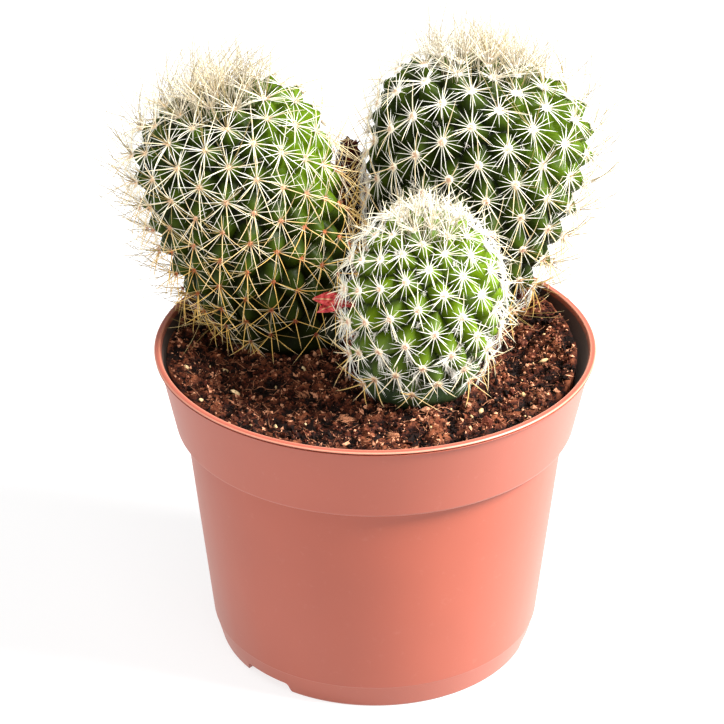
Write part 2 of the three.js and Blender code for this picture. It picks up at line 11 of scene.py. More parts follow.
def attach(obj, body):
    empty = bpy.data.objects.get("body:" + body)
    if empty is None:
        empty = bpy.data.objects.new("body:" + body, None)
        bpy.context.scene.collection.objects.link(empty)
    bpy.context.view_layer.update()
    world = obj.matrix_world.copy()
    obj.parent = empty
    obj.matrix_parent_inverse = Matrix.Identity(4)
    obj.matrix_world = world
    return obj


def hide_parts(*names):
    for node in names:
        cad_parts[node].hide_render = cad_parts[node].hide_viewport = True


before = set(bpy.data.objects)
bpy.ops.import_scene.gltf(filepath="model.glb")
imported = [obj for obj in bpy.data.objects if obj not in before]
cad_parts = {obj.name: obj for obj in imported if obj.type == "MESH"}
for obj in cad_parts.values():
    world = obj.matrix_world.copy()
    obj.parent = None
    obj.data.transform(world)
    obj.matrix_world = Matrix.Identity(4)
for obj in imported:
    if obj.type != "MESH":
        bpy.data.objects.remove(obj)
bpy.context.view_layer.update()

MM = 0.001
TURN = 2 * math.pi

# Camera, at the photograph's distance and angle
IMAGE_SIZE = 724
FOCAL_PIXELS = 2646
SENSOR = 36
CAMERA_TARGET = (-3.55, 0, 83.4)
CAMERA_DISTANCE = 723
CAMERA_ELEVATION = 28.59
CAMERA_ROLL = -0.12

# Light, in metres and watts: each lamp's name, place, width and power
LIGHTS = (
    ("key", (0.94, -0.22, 0.92), 0.55, 61),
    ("top", (-0.05, -0.45, 1.1), 0.7, 4),
    ("fill", (-1.0, -0.35, 0.4), 0.8, 5),
)
LIGHT_AIM = (0, 0, 0.1)
ROOM_LIGHT = 0.42
FLOOR_GLOW = 0.75
FLOOR_SIZE = 12

# Pot
POT_HEIGHT = 90
RIM_RADIUS = 60
LIP_WIDTH = 1.8
LIP_HEIGHT = 1.2
LIP_GROOVE = 89.2
WALL = 1.5
BAND_BOTTOM = 68.1
BAND_RADIUS_LOW = 54.8
BAND_RADIUS_HIGH = 59
BODY_RADIUS = 52.2
FOOT_HEIGHT = 7.4
FOOT_TOP_RADIUS = 45.9
BASE_RADIUS = 44.1
FOOT_RING_WIDTH = 2.7
FLOOR_LIFT = 3.4
CENTRE_PAD_RADIUS = 14
NOTCH_AZIMUTHS = (-132.5, -12.5, 107.5)
NOTCH_WIDTH = 19.5
NOTCH_HEIGHT = 3
DRAIN_AZIMUTHS = (-72.5, 47.5, 167.5)
DRAIN_RADIUS = 3.5
DRAIN_CIRCLE = 30
POT_SIDES = 192

# Peat
SOIL_EDGE_HEIGHT = 83.2
SOIL_MOUND = 2.8
MOUND_AT = (12, -20)
MOUND_SPREAD = 20
SHRINK_AZIMUTH = -8
SHRINK = 1.7
SOIL_RADIUS = 55.9
BANK = 4.6
BANK_AZIMUTH = 106
BANK_INNER_RADIUS = 38
BANK_WIDTH = 17
GAP = 0.3
# What lies on it: how many of each kind, and the seeds of their random draws
CRUMBS = 12500
BIG_CRUMBS = 420
FIBRES = 3600
ROOTS = 44
STRAY_GRAINS = 26
CRUMB_SEED = 71
FIBRE_SEED = 72
GRAIN_SEED = 73

# Pale grains on the peat, each with its place and size, and the paths of its longest bare roots
PALE_GRAINS = (
    (-40.5, -5.9, 0.75), (-37.4, -20.4, 0.8), (-19.3, -5.9, 0.9), (-26.1, -36.9, 0.62), (-46, -28, 0.55),
    (-32.6, -37.5, 0.32), (-26.7, -13.2, 0.3), (-44.8, -5.0, 0.3), (45.9, -3.6, 0.95), (39.3, -21.8, 0.7),
    (27.7, -29.9, 0.65), (34.4, -39.1, 0.75), (-50.8, -10.2, 0.6),
)
LONG_ROOTS = (
    ((-36.5, -8.3), (-39.2, -11.2), (-42.6, -20.5), (-43.4, -29.5), (-40.6, -36.0)),
    ((-29.8, -24.6), (-28.4, -27.8), (-28.3, -31.4), (-28.8, -34.9)),
)
# Matted bits of bark, each with its place and the way it lies in degrees
CHUNKS = ((-19.3, -19.2, -55), (-7.5, -34.8, 20), (4.2, -42.6, 150))

# Bodies: heights over the foot of the underside, of the lowest areole and of the part that stands upright,
# how deep the valleys are for the size of their tubercles, the middle of the clump, and how many rows the
# skin has down the flank and in under the body
UNDERSIDE = 1.2
LOWEST_AREOLE = 3.2
UPRIGHT_OVER = 26
VALLEY_DEPTH = 0.5
CLUMP_MIDDLE = (0, 22)
FLANK_ROWS = 500
UNDER_ROWS = 60

# Spines: how high over the tubercle they root, their radius there, and for each kind the radius at the tip,
# sides, steps and how far out on the areole it roots
SPINE_ROOT_LIFT = 0.24
RADIAL_THICK = 0.135
RADIAL_SLIM = 0.09
CENTRAL_THICK = 0.17
HAIR_THICK = 0.1
RADIAL_FORM = (0.045, 3, 3, 0.45)
CENTRAL_FORM = (0.05, 4, 5, 0.25)
HAIR_FORM = (0.05, 3, 5, 0.2)
# The crown's spines and the wool's fibres: radius at root and tip, sides, steps and fullness
TUFT_FORM = (0.095, 0.04, 3, 4, 0.7)
WOOL_FORM = (0.08, 0.03, 3, 2)
AREOLE_FIBRES = 18
AXIL_FIBRES = 44


class Plant:
    """One cactus body: its outline, lean and spiral of areoles, and how its spines grow."""

    def __init__(self, name, **facts):
        self.name = name
        self.__dict__.update(facts)
        self.foot = np.array(self.foot, float)
        self.lean = np.array(self.lean, float)

    def outline(self, h):
        """Radius through the tubercle tips at height h."""
        up = np.clip((h - self.widest) / (self.height - self.widest), 0, 1)
        dome = self.radius * (1 - up ** self.dome) ** (1 / self.dome_root)
        down = np.clip((self.widest - h) / self.widest, 0, None)
        waist = self.radius - (self.radius - self.foot_radius) * down ** self.waist
        return np.where(h >= self.widest, dome, waist)

    def surface(self, h, r, azimuth):
        """Points at radius r of the ring at height h, which is level at the foot and leans higher up."""
        share = smoothstep(h / UPRIGHT_OVER)
        axis = unit(np.stack([self.lean[0] * share, self.lean[1] * share, self.height + 0 * share], -1))
        right = unit(np.array([1.0, 0, 0]) - axis * axis[..., :1])
        ahead = np.cross(axis, right)
        k = (h / self.height)[..., None]
        middle = np.concatenate([self.lean * k, h[..., None]], -1)
        spoke = right * np.cos(azimuth)[..., None] + ahead * np.sin(azimuth)[..., None]
        return self.foot + middle + spoke * np.asarray(r)[..., None]

    def holds(self, points, margin):
        """Which points lie inside the body, or within margin of it."""
        h = points[..., 2] - self.foot[2]
        k = np.clip(h / self.height, 0, 1)[..., None]
        away = np.hypot(*np.moveaxis(points[..., :2] - self.foot[:2] - self.lean * k, -1, 0))
        beside = away < self.outline(np.minimum(h, self.height)) + margin
        return (h > 0) & (h < self.height + margin) & beside


def unit(v):
    return v / np.linalg.norm(v, axis=-1, keepdims=True)


def linear(colour):
    """A colour given as three numbers from 0 to 255 on a screen, as the four that a shader takes."""
    if not isinstance(colour, tuple) or len(colour) == 4:
        return colour
    parts = [c / 255 for c in colour]
    return tuple(c / 12.92 if c <= 0.04045 else ((c + 0.055) / 1.055) ** 2.4 for c in parts) + (1,)


def smoothstep(k):
    k = np.clip(k, 0, 1)
    return k * k * (3 - 2 * k)


# Spine lengths in mm, and angles round the areole in degrees, 90 towards the crown.
# Besides the spines' values, each plant sets how much painted shade darkens its flesh towards the foot, and
# where painted light makes its flesh a lighter green on the right and towards the crown.
PLANTS = (
    Plant(
        "cactus_front", foot=(11, -14.7, 86), lean=(3.1, -7), height=50.4, widest=24.8,
        radius=21.1, foot_radius=14.9, dome=2.37, dome_root=2.17, waist=1.8,
        divergence=-137.437, first_azimuth=52.4, cell=75.4, crown_share=0.3, crown_area=1420,
        radials=14, radial=4.9, centrals=((95, 7), (-40, 8), (-140, 8)), crown=9.5, crown_reach=8.5,
        gold=0.15, fading=0, aged=0.9, fresh=(0.1, 0.45), tuft=150, tuft_width=0.47, tuft_shift=0, hairs=0,
        wool=(0.5, 1), areole=1.2, seed=11, skin_step=0.58, slot="skin_bright",
    ),
    Plant(
        "cactus_left", foot=(-24.4, 21.5, 84), lean=(-19.5, -3.8), height=70.7, widest=45.6,
        radius=27.4, foot_radius=18.6, dome=3.39, dome_root=2.45, waist=1.8,
        divergence=-137.491, first_azimuth=324.7, cell=65.8, crown_share=0.58, crown_area=126,
        radials=14, radial=6.7, centrals=((85, 11), (-88, 12.5), (-150, 12.5), (-20, 12.5)), crown=15.5,
        crown_reach=10.5, gold=0.75, fading=1, aged=0.95, fresh=(-0.15, 0.8), tuft=290, tuft_width=0.52,
        tuft_shift=1.5, hairs=4, wool=(0, 0), areole=0.7, seed=23, skin_step=0.72, slot="skin_dark",
    ),
    Plant(
        "cactus_back", foot=(19.3, 28.4, 84), lean=(14.7, 9.1), height=72.4, widest=50,
        radius=31.1, foot_radius=18.5, dome=3.13, dome_root=2.21, waist=1.8,
        divergence=137.505, first_azimuth=190, cell=84.5, crown_share=0.59, crown_area=914,
        radials=17, radial=6.4, centrals=((88, 11), (-60, 10.5), (-130, 10.5)), crown=15, crown_reach=12,
        gold=0.5, fading=0.3, aged=0.4, fresh=(0.15, 0.45), tuft=360, tuft_width=0.6, tuft_shift=-4.5,
        hairs=3, wool=(0.08, 0), areole=1.3, seed=37, skin_step=0.76, slot="skin_dark",
    ),
)

# Dried stem, and the wilted flower on the front plant's left flank
STEM_FOOT = (-5, 46, 84.2)
STEM_TOP = (-7.3, 46, 128.6)
STEM_RADIUS = 4.6
STEM_FOOT_RADIUS = 4.2
STEM_DEPTH = 7
STEM_SEED = 81
SHREDS = 150
FLOWER_TUBE = ((-2.6, -13.9, 106.9), (-6.5, -13.6, 107.9), (-9.4, -12.6, 108.4))
# Each petal's root, middle and tip, and half its width
PETALS = (
    (((-8.4, -12.5, 108.6), (-12.9, -12.7, 109.5), (-16.7, -12.3, 109.1)), 1.7),
    (((-8.6, -12.8, 108.1), (-12.4, -13.4, 107.8), (-15.4, -12.7, 105.3)), 1.6),
    (((-8.2, -13.1, 108.3), (-9.8, -13.5, 107.4), (-10.8, -13.3, 106.2)), 0.8),
    (((-8.4, -12.1, 109.1), (-11.2, -11.7, 110.2), (-13.8, -11.4, 110.4)), 0.85),
    (((-8.0, -13.3, 108.7), (-10.1, -13.8, 108.9), (-12.1, -13.5, 108.4)), 0.7),
)


# Meshes
def noise_at(points, size, shift=0):
    """Smooth noise with lumps of the given size, at each point."""
    return np.array([noise.noise(Vector(p / size) + Vector((shift, 0, 0))) for p in points])


def put(name, data):
    """A new object in the scene."""
    made = bpy.data.objects.new(name, data)
    bpy.context.scene.collection.objects.link(made)
    return made


class Heap:
    """Points and faces gathered for one piece, with named values at each point for its material."""

    def __init__(self):
        self.points, self.faces, self.values, self.count = [], [], {}, 0

    def add(self, points, faces, **values):
        for corners in faces:
            self.faces.append(np.asarray(corners) + self.count)
        for name, value in values.items():
            spread = np.broadcast_to(np.asarray(value, np.float32), (len(points),))
            self.values.setdefault(name, []).append(spread)
        self.points.append(points)
        self.count += len(points)
        return self

    def add_copies(self, points, faces, **values):
        """Shapes with the same faces, a row of points for each. Values fit rows by points."""
        count, each = points.shape[:2]
        first = (np.arange(count) * each)[:, None, None]
        numbered = [(f[None] + first).reshape(-1, f.shape[1]) for f in faces]
        full = {name: np.broadcast_to(value, (count, each)).ravel() for name, value in values.items()}
        return self.add(points.reshape(-1, 3), numbered, **full)

    def shape(self, name):
        """An object with the gathered points and faces alone."""
        mesh = bpy.data.meshes.new(name)
        points = np.concatenate(self.points) * MM
        mesh.vertices.add(len(points))
        mesh.vertices.foreach_set("co", points.astype(np.float32).ravel())
        corners = np.concatenate([f.ravel() for f in self.faces]).astype(np.int32)
        mesh.loops.add(len(corners))
        mesh.loops.foreach_set("vertex_index", corners)
        sizes = np.concatenate([np.full(len(f), f.shape[1]) for f in self.faces])
        mesh.polygons.add(len(sizes))
        starts = np.concatenate([[0], np.cumsum(sizes)[:-1]])
        mesh.polygons.foreach_set("loop_start", starts.astype(np.int32))
        mesh.update(calc_edges=True)
        return put(name, mesh)

    def piece(self, name, look, slot, replaces=None, sharp=None):
        """A visible piece. Like every piece it stands still with the pot, which is the one body."""
        piece = self.shape(name)
        mesh = piece.data
        mesh.shade_smooth()
        if sharp is not None:
            mesh.set_sharp_from_angle(angle=math.radians(sharp))
        for value_name, parts in self.values.items():
            layer = mesh.attributes.new(value_name, "FLOAT", "POINT")
            layer.data.foreach_set("value", np.concatenate(parts))
        mesh.materials.append(look)
        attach(piece, "root")
        if replaces:
            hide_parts(replaces)
        return piece


def rings_faces(rings, sides):
    """Faces between rings of points, closed round, for points numbered ring by ring."""
    i = np.arange(sides)
    low = (np.arange(rings - 1) * sides)[:, None]
    j = (i + 1) % sides
    return np.stack([low + i, low + j, low + sides + j, low + sides + i], -1).reshape(-1, 4)


def fan(ring, tip):
    """Triangles from each side of a closed ring of points to one point."""
    return np.stack([ring, np.roll(ring, -1), np.full(len(ring), tip)], -1)


def pointed_tube(rings, sides, downward=False):
    """Faces round rings of points, closed to the two points that follow. The rings go up or downward."""
    ring = np.arange(sides)
    count = rings * sides
    start, end = fan(ring, count), fan(ring + count - sides, count + 1)
    back = [1, 0, 2]
    if downward:
        return [rings_faces(rings, sides)[:, ::-1], start, end[:, back]]
    return [rings_faces(rings, sides), start[:, back], end]


def capped_tube(rings, sides):
    """Faces round rings of points, closed by a flat face at each end."""
    ring = np.arange(sides)
    return [rings_faces(rings, sides), ring[::-1][None], ring[None] + (rings - 1) * sides]


def needles(roots, directions, lengths, bends, thick, thin, sides, steps, fullness=1.0):
    """Closed tapering needles, one a row: points, faces, and how far up its needle each point lies."""
    count = len(roots)
    helper = np.where(np.abs(directions[:, 2:]) > 0.9, [[1.0, 0, 0]], [[0, 0, 1.0]])
    side = unit(np.cross(directions, helper))
    other = np.cross(directions, side)
    k = np.arange(steps) / steps
    reach = directions * np.reshape(lengths, (-1, 1))
    centres = roots[:, None] + reach[:, None] * k[:, None] + bends[:, None] * (k ** 2)[:, None]
    taper = (1 - k) ** fullness
    radius = np.reshape(thin, (-1, 1)) + np.reshape(np.subtract(thick, thin), (-1, 1)) * taper
    angle = np.arange(sides) * TURN / sides
    ring = side[:, None] * np.cos(angle)[:, None] + other[:, None] * np.sin(angle)[:, None]
    body = centres[:, :, None] + np.broadcast_to(radius, (count, steps))[:, :, None, None] * ring[:, None]
    points = np.concatenate([body.reshape(count, -1, 3), (roots + reach + bends)[:, None]], 1)
    i = np.arange(sides)
    tip = steps * sides
    faces = [rings_faces(steps, sides), fan(tip - sides + i, tip), i[::-1][None]]
    return points, faces, np.concatenate([np.repeat(k, sides), [1.0]])


def blade(path, side, width, thickness, fold=0.0, crumple=0.0, seed=0.0, sides=24):
    """A closed thin leaf along the path, widest across side: points, faces and their places across."""
    ahead = unit(np.gradient(path, axis=0))
    side = unit(side - ahead * (ahead * side).sum(-1, keepdims=True))
    face = np.cross(ahead, side)
    angle = np.arange(sides) * TURN / sides
    across = np.cos(angle)
    width = np.reshape(width, (-1, 1))
    lift = thickness * np.sin(angle) * np.minimum(1, width) + fold * (np.abs(across) - 0.5) * width
    middle = path[:, None] + side[:, None] * (width * across)[..., None]
    points = (middle + face[:, None] * lift[..., None]).reshape(-1, 3)
    if crumple:
        wave = noise_at(middle.reshape(-1, 3), 1.1, seed)
        points = points + np.repeat(face, sides, 0) * (wave * crumple)[:, None]
    return points, capped_tube(len(path), sides), np.tile(across, len(path))


def curve(root, middle, tip, steps):
    """Points along a curve from root to tip that is pulled towards middle."""
    k = np.linspace(0, 1, steps)[:, None]
    root, middle, tip = (np.array(p, float) for p in (root, middle, tip))
    return (1 - k) ** 2 * root + 2 * k * (1 - k) * middle + k * k * tip


def ball(detail):
    """Points and triangles of a unit icosphere, or of an octahedron where detail is 0."""
    if detail == 0:
        faces = [[0, 1, 2], [1, 3, 2], [3, 4, 2], [4, 0, 2], [1, 0, 5], [3, 1, 5], [4, 3, 5], [0, 4, 5]]
        return np.concatenate([np.eye(3), -np.eye(3)]), np.array(faces)
    made = bpy.data.meshes.new("ball")
    work = bmesh.new()
    bmesh.ops.create_icosphere(work, subdivisions=detail, radius=1)
    work.to_mesh(made)
    work.free()
    points = np.array([v.co for v in made.vertices])
    faces = np.array([p.vertices for p in made.polygons])
    bpy.data.meshes.remove(made)
    return points, faces


def lumps(heap, rng, centres, sizes, detail, rough, uneven, tone):
    """Irregular grains of the given sizes, each its own shape and turn."""
    points, faces = ball(detail)
    count = len(centres)
    shape = points[None] * (1 + rough * (rng.random((count, len(points), 1)) - 0.5) * 2)
    shape = shape * rng.lognormal(0, uneven, (count, 1, 3))
    turned_shape = np.einsum("nij,npj->npi", random_turns(rng, count), shape)
    placed = centres[:, None] + turned_shape * np.reshape(sizes, (-1, 1, 1))
    heap.add_copies(placed, [faces], tone=tone[:, None])


def random_turns(rng, count):
    """Rotation matrices, evenly spread."""
    a = unit(rng.normal(size=(count, 3)))
    b = unit(np.cross(a, rng.normal(size=(count, 3))))
    return np.stack([a, b, np.cross(a, b)], -1)


# Materials
class Look:
    """A procedural material on one Principled shader, made of noise, ramps and the mesh's own values."""

    def __init__(self, name, roughness=0.5, **sockets):
        self.material = bpy.data.materials.new(name)
        self.material.use_nodes = True
        self.tree = self.material.node_tree
        self.shader = self.tree.nodes["Principled BSDF"]
        self.place = self.tree.nodes.new("ShaderNodeTexCoord").outputs["Object"]
        self.shader.inputs["Roughness"].default_value = roughness
        for socket, value in sockets.items():
            self.shader.inputs[socket.replace("_", " ")].default_value = value

    def add(self, kind, output, inputs, **settings):
        node = self.tree.nodes.new("ShaderNode" + kind)
        for name, value in settings.items():
            setattr(node, name, value)
        for key, value in inputs.items():
            self.feed(node.inputs[key], value)
        return node.outputs[output]

    def feed(self, socket, value):
        if isinstance(value, bpy.types.NodeSocket):
            self.tree.links.new(value, socket)
        else:
            socket.default_value = value

    def value(self, name):
        return self.add("Attribute", "Fac", {}, attribute_name=name)

    def stretched(self, x, y, z):
        """Places scaled along the axes, for grain that runs one way."""
        return self.add("Mapping", "Vector", {"Vector": self.place, "Scale": (x, y, z)})

    def noise(self, size, detail=3, roughness=0.55, place=None):
        return self.add("TexNoise", "Fac", {
            "Vector": place or self.place, "Scale": 1 / (size * MM),
            "Detail": detail, "Roughness": roughness,
        })

    def cells(self, size):
        return self.add("TexVoronoi", "Distance", {"Vector": self.place, "Scale": 1 / (size * MM)})

    def ramp(self, value, *stops):
        node = self.tree.nodes.new("ShaderNodeValToRGB")
        points = node.color_ramp.elements
        while len(points) < len(stops):
            points.new(0.5)
        for point, (position, colour) in zip(points, stops):
            point.position = position
            point.color = linear(colour) if isinstance(colour, tuple) else (colour, colour, colour, 1)
        self.feed(node.inputs["Fac"], value)
        return node.outputs["Color"]

    def mix(self, share, a, b, blend="MIX"):
        return self.add("Mix", 2, {0: share, 6: linear(a), 7: linear(b)}, data_type="RGBA", blend_type=blend)

    def scaled(self, value, low, high):
        return self.add("MapRange", 0, {0: value, 3: low, 4: high})

    def plus(self, value, other, low, high):
        """The value, and a second one of 0 to 1 that is added to it as low to high."""
        return self.add("Math", 0, {0: value, 1: self.scaled(other, low, high)})

    def bump(self, height, depth, strength, on=None):
        inputs = {"Height": height, "Distance": depth * MM, "Strength": strength}
        if on:
            inputs["Normal"] = on
        return self.add("Bump", "Normal", inputs)

    def finish(self, colour, roughness=None, normal=None):
        for socket, value in (("Base Color", colour), ("Roughness", roughness), ("Normal", normal)):
            if value is not None:
                self.feed(self.shader.inputs[socket], value)
        return self.material


def pot_look():
    """Moulded plastic with faint clouds and scuffs, darker on the inner side, and painted highlight and
    shade lines on the lip.
    """
    look = Look("moulded_terracotta_plastic", IOR=1.46, Coat_Weight=0.3, Coat_Roughness=0.5,
                Sheen_Weight=0.18, Sheen_Roughness=0.5, Sheen_Tint=(1, 0.8, 0.7, 1))
    flow = look.noise(9, 4, 0.6, look.stretched(1, 1, 0.12))
    body = look.ramp(look.noise(38, 3, 0.5), (0.3, (148, 59, 32)), (0.7, (155, 63, 36)))
    body = look.mix(look.scaled(flow, 0.0, 0.2), body, (169, 80, 51))
    dust = look.ramp(look.noise(2.6, 5, 0.7), (0.6, 0.0), (0.8, 0.15))
    body = look.mix(dust, body, (190, 130, 112))
    # Darker and rougher in uneven patches on the inner side below the lip.
    inner_darkening = look.plus(look.value("inside"), look.noise(2.2, 5, 0.7), -0.35, 0.35)
    inner_darkening = look.ramp(inner_darkening, (0.3, 0.0), (0.75, 0.95))
    body = look.mix(inner_darkening, body, (24, 8, 4))
    # Painted highlights: two pale lines along the lip. Painted shade: a dark line at the groove under the
    # lip.
    lip = look.value("lip")
    lip_highlights_and_shade = look.ramp(
        lip, (0.02, (86, 22, 18)), (0.2, (150, 72, 56)), (0.34, (214, 146, 118)), (0.46, (150, 70, 54)),
        (0.66, (158, 80, 64)), (0.86, (206, 136, 110)), (0.97, (146, 66, 50)),
    )
    body = look.mix(look.ramp(lip, (0.0, 0.0), (0.02, 0.75)), body, lip_highlights_and_shade)
    dents = look.bump(look.noise(16, 2, 0.4), 0.18, 0.5)
    normal = look.bump(look.noise(0.35, 2, 0.5), 0.02, 0.5, dents)
    return look.finish(body, look.plus(look.scaled(flow, 0.4, 0.52), inner_darkening, 0, 0.4), normal)


def peat_look(name, dark, brown, light, share=0.36):
    """Crumbly peat, reddish brown to tan and nearly black in its gaps, the gaps partly painted shade from
    the mesh's values.
    """
    look = Look(name, 0.85, Specular_IOR_Level=0.12)
    grain = look.noise(0.7, 5, 0.75)
    tone = look.plus(grain, look.value("tone"), -share, share)
    colour = look.ramp(tone, (0.34, dark), (0.54, brown), (0.86, light))
    colour = look.mix(look.ramp(look.noise(8, 3, 0.6), (0.45, 0.0), (0.75, 0.6)), colour, dark)
    return look.finish(colour, look.scaled(grain, 0.5, 0.95), look.bump(look.noise(0.45, 4, 0.7), 0.3, 0.9))


def look_between(a, b):
    """The colour halfway between two."""
    return tuple((p + q) / 2 for p, q in zip(linear(a), linear(b)))


def skin_look(name, valley_shade, flank, tip, bloom, painted_light, painted_light_share, foot_shade_colour):
    """Waxy green skin with a grey bloom in patches, painted shade in the valleys and near the foot, and
    painted light on the tips, the right side and the crown.
    """
    look = Look(name, 0.45, Specular_IOR_Level=0.06)
    mottle = look.noise(1.4, 4, 0.6)
    # Painted shade and light: the deeper the flesh lies in a valley the darker it is, and the higher on a
    # tubercle the paler.
    high = look.plus(look.value("height"), mottle, -0.12, 0.12)
    colour = look.ramp(high, (0.04, valley_shade), (0.16, look_between(valley_shade, flank)), (0.5, flank), (0.95, tip))
    patches = look.plus(look.noise(7, 3, 0.55), look.value("height"), -0.1, 0.08)
    colour = look.mix(look.ramp(patches, (0.5, 0.0), (0.72, 0.6)), colour, bloom)
    # Painted light: a lighter yellow-green on the right side and towards the crown, where the light falls.
    fresh = look.plus(look.value("fresh"), mottle, -0.2, 0.2)
    colour = look.mix(look.ramp(fresh, (0.35, 0.0), (0.85, painted_light_share)), colour, painted_light)
    freckles = look.ramp(look.cells(0.55), (0.1, 1.0), (0.24, 0.0))
    colour = look.mix(look.scaled(freckles, 0, 0.22), colour, bloom)
    # Painted shade: the flesh darkens towards the foot, near the peat.
    colour = look.mix(look.scaled(look.value("low"), 0, 0.85), colour, foot_shade_colour)
    wrinkles = look.bump(look.noise(1.8, 3, 0.5), 0.3, 0.35)
    pores = look.bump(look.noise(0.3, 2, 0.5), 0.06, 0.5, wrinkles)
    return look.finish(colour, look.scaled(mottle, 0.34, 0.55), pores)


def spine_look(name, root, shaft, tip, gold_root, gold_shaft, painted_light):
    """Horny spines, white on young areoles and golden with a brown root on old ones."""
    # Painted glow: the spines give off light of their own colour, which keeps them bright in shade.
    look = Look(name, 0.38, Specular_IOR_Level=0.3, Emission_Strength=painted_light)
    along = look.value("along")
    white = look.ramp(along, (0.0, root), (0.16, shaft), (1.0, tip))
    gold_tip = look_between(gold_shaft, tip)
    gold = look.ramp(along, (0.0, gold_root), (0.16, gold_shaft), (0.7, gold_shaft), (1.0, gold_tip))
    colour = look.mix(look.value("gold"), white, gold)
    streaks = look.noise(0.9, 3, 0.6)
    creamy = look.mix(1.0, colour, (226, 216, 188), "MULTIPLY")
    colour = look.mix(look.scaled(streaks, 0, 0.25), colour, creamy)
    look.feed(look.shader.inputs["Emission Color"], colour)
    return look.finish(colour, look.scaled(streaks, 0.3, 0.5), look.bump(streaks, 0.03, 0.4))


def wool_look(name, young, middle, old):
    """Felt and wool, with a brown heart on the areoles where the spines stand."""
    # Painted glow: the wool gives off light of its own colour, which keeps it bright in shade.
    look = Look(name, 0.95, Sheen_Weight=0.3, Emission_Strength=0.2)
    age = look.plus(look.value("age"), look.noise(0.5, 3, 0.6), -0.16, 0.16)
    colour = look.ramp(age, (0.1, young), (0.5, middle), (0.95, old))
    heart = look.ramp(age, (0.1, (194, 146, 90)), (0.5, (166, 80, 26)), (0.95, (108, 34, 8)))
    colour = look.mix(look.scaled(look.value("core"), 0, 0.8), colour, heart)
    look.feed(look.shader.inputs["Emission Color"], colour)
    return look.finish(colour, None, look.bump(look.noise(0.22, 3, 0.7), 0.1, 0.8))


def dry_look():
    """Dark dead tissue, lighter on its raised scales and darker in its pits as painted light and shade,
    blackish brown low down, and orange-brown shreds.
    """
    look = Look("dried_tissue", 0.8, Specular_IOR_Level=0.12)
    grain = look.noise(0.5, 4, 0.7)
    tone = look.plus(grain, look.value("tone"), -0.3, 0.25)
    dead = look.ramp(tone, (0.34, (30, 6, 4)), (0.55, (108, 36, 25)), (0.85, (172, 98, 76)))
    dry = look.ramp(tone, (0.35, (50, 16, 3)), (0.6, (134, 58, 12)), (0.9, (190, 112, 46)))
    withered = look.ramp(tone, (0.4, (20, 7, 2)), (0.65, (62, 26, 8)), (0.95, (124, 68, 28)))
    colour = look.mix(look.value("withered"), look.mix(look.value("dry"), dead, dry), withered)
    return look.finish(colour, look.scaled(grain, 0.5, 0.9), look.bump(look.noise(0.3, 4, 0.7), 0.2, 0.8))


def petal_look():
    """Withered pinkish red petals with a pale midrib, painted shade in their creases and painted highlights
    on the ridges.
    """
    look = Look("withered_petal", 0.55, Sheen_Weight=0.2, Subsurface_Weight=0.25, Subsurface_Scale=0.0006)
    streaks = look.noise(0.8, 4, 0.65, look.stretched(0.35, 1.6, 1.6))
    # Painted shade and highlight: the colour is darkest in the creases and lightest on the ridges of the
    # same streaks that make the bumps.
    colour = look.ramp(streaks, (0.3, (140, 12, 28)), (0.5, (210, 52, 58)), (0.75, (236, 112, 102)))
    patches = look.ramp(look.noise(2.6, 3, 0.6), (0.6, 0.0), (0.76, 0.5))
    colour = look.mix(patches, colour, (168, 132, 74))
    midrib = look.ramp(look.plus(look.value("across"), streaks, -0.12, 0.12), (0.03, 0.85), (0.16, 0.0))
    colour = look.mix(midrib, colour, (236, 206, 150))
    return look.finish(colour, look.scaled(streaks, 0.4, 0.7), look.bump(streaks, 0.25, 0.8))


# Cactus bodies
def outline_rows(plant):
    """The outline from the crown down the flank and in under the body: height, radius and area above."""
    down = np.arange(FLANK_ROWS + 1) / FLANK_ROWS * math.pi / 2
    h = UNDERSIDE + 0.6 + (plant.height - UNDERSIDE - 0.6) * np.cos(down)
    r = plant.outline(h)
    under = (r[-1] - 0.8) * (1 - np.arange(UNDER_ROWS) / UNDER_ROWS)
    h = np.concatenate([h, np.full(UNDER_ROWS, UNDERSIDE)])
    r = np.concatenate([r, under])
    length = np.hypot(np.diff(h), np.diff(r))
    area = np.concatenate([[0], np.cumsum(TURN * (r[1:] + r[:-1]) / 2 * length)])
    return h, r, area


def areoles(plant):
    """The areoles down the spiral: their places, normals, ways across and upward, cells and heights."""
    h, r, area = outline_rows(plant)
    cell = plant.cell * (1 - (1 - plant.crown_share) * np.exp(-area[1:] / plant.crown_area))
    count = np.concatenate([[0], np.cumsum(np.diff(area) / cell)])
    wanted = np.arange(0.5, count[-1], 1)
    azimuth = np.radians(plant.first_azimuth + plant.divergence * np.arange(len(wanted)))
    at_h = np.interp(wanted, count, h)
    at_r = np.maximum(0.05, np.interp(wanted, count, r))
    at_cell = np.interp(wanted, count, np.concatenate([cell[:1], cell]))
    keep = at_h > LOWEST_AREOLE
    at_h, at_r, azimuth, at_cell = at_h[keep], at_r[keep], azimuth[keep], at_cell[keep]
    step = 0.4
    high = np.minimum(at_h + step, plant.height - 1e-3)
    up = plant.surface(high, plant.outline(high), azimuth)
    up = up - plant.surface(at_h - step, plant.outline(at_h - step), azimuth)
    place = plant.surface(at_h, at_r, azimuth)
    normal = unit(np.cross(plant.surface(at_h, at_r, azimuth + 0.02) - place, up))
    level = np.where(np.abs(normal[:, 2:]) > 0.99, [[1.0, 0, 0]], [[0, 0, 1.0]])
    across = unit(np.cross(level, normal))
    young = np.exp(-(at_r / plant.crown_reach) ** 2.5) * (at_h > plant.widest)
    return {
        "place": place, "normal": normal, "across": across, "upward": np.cross(normal, across),
        "cell": at_cell, "h": at_h, "young": young,
    }


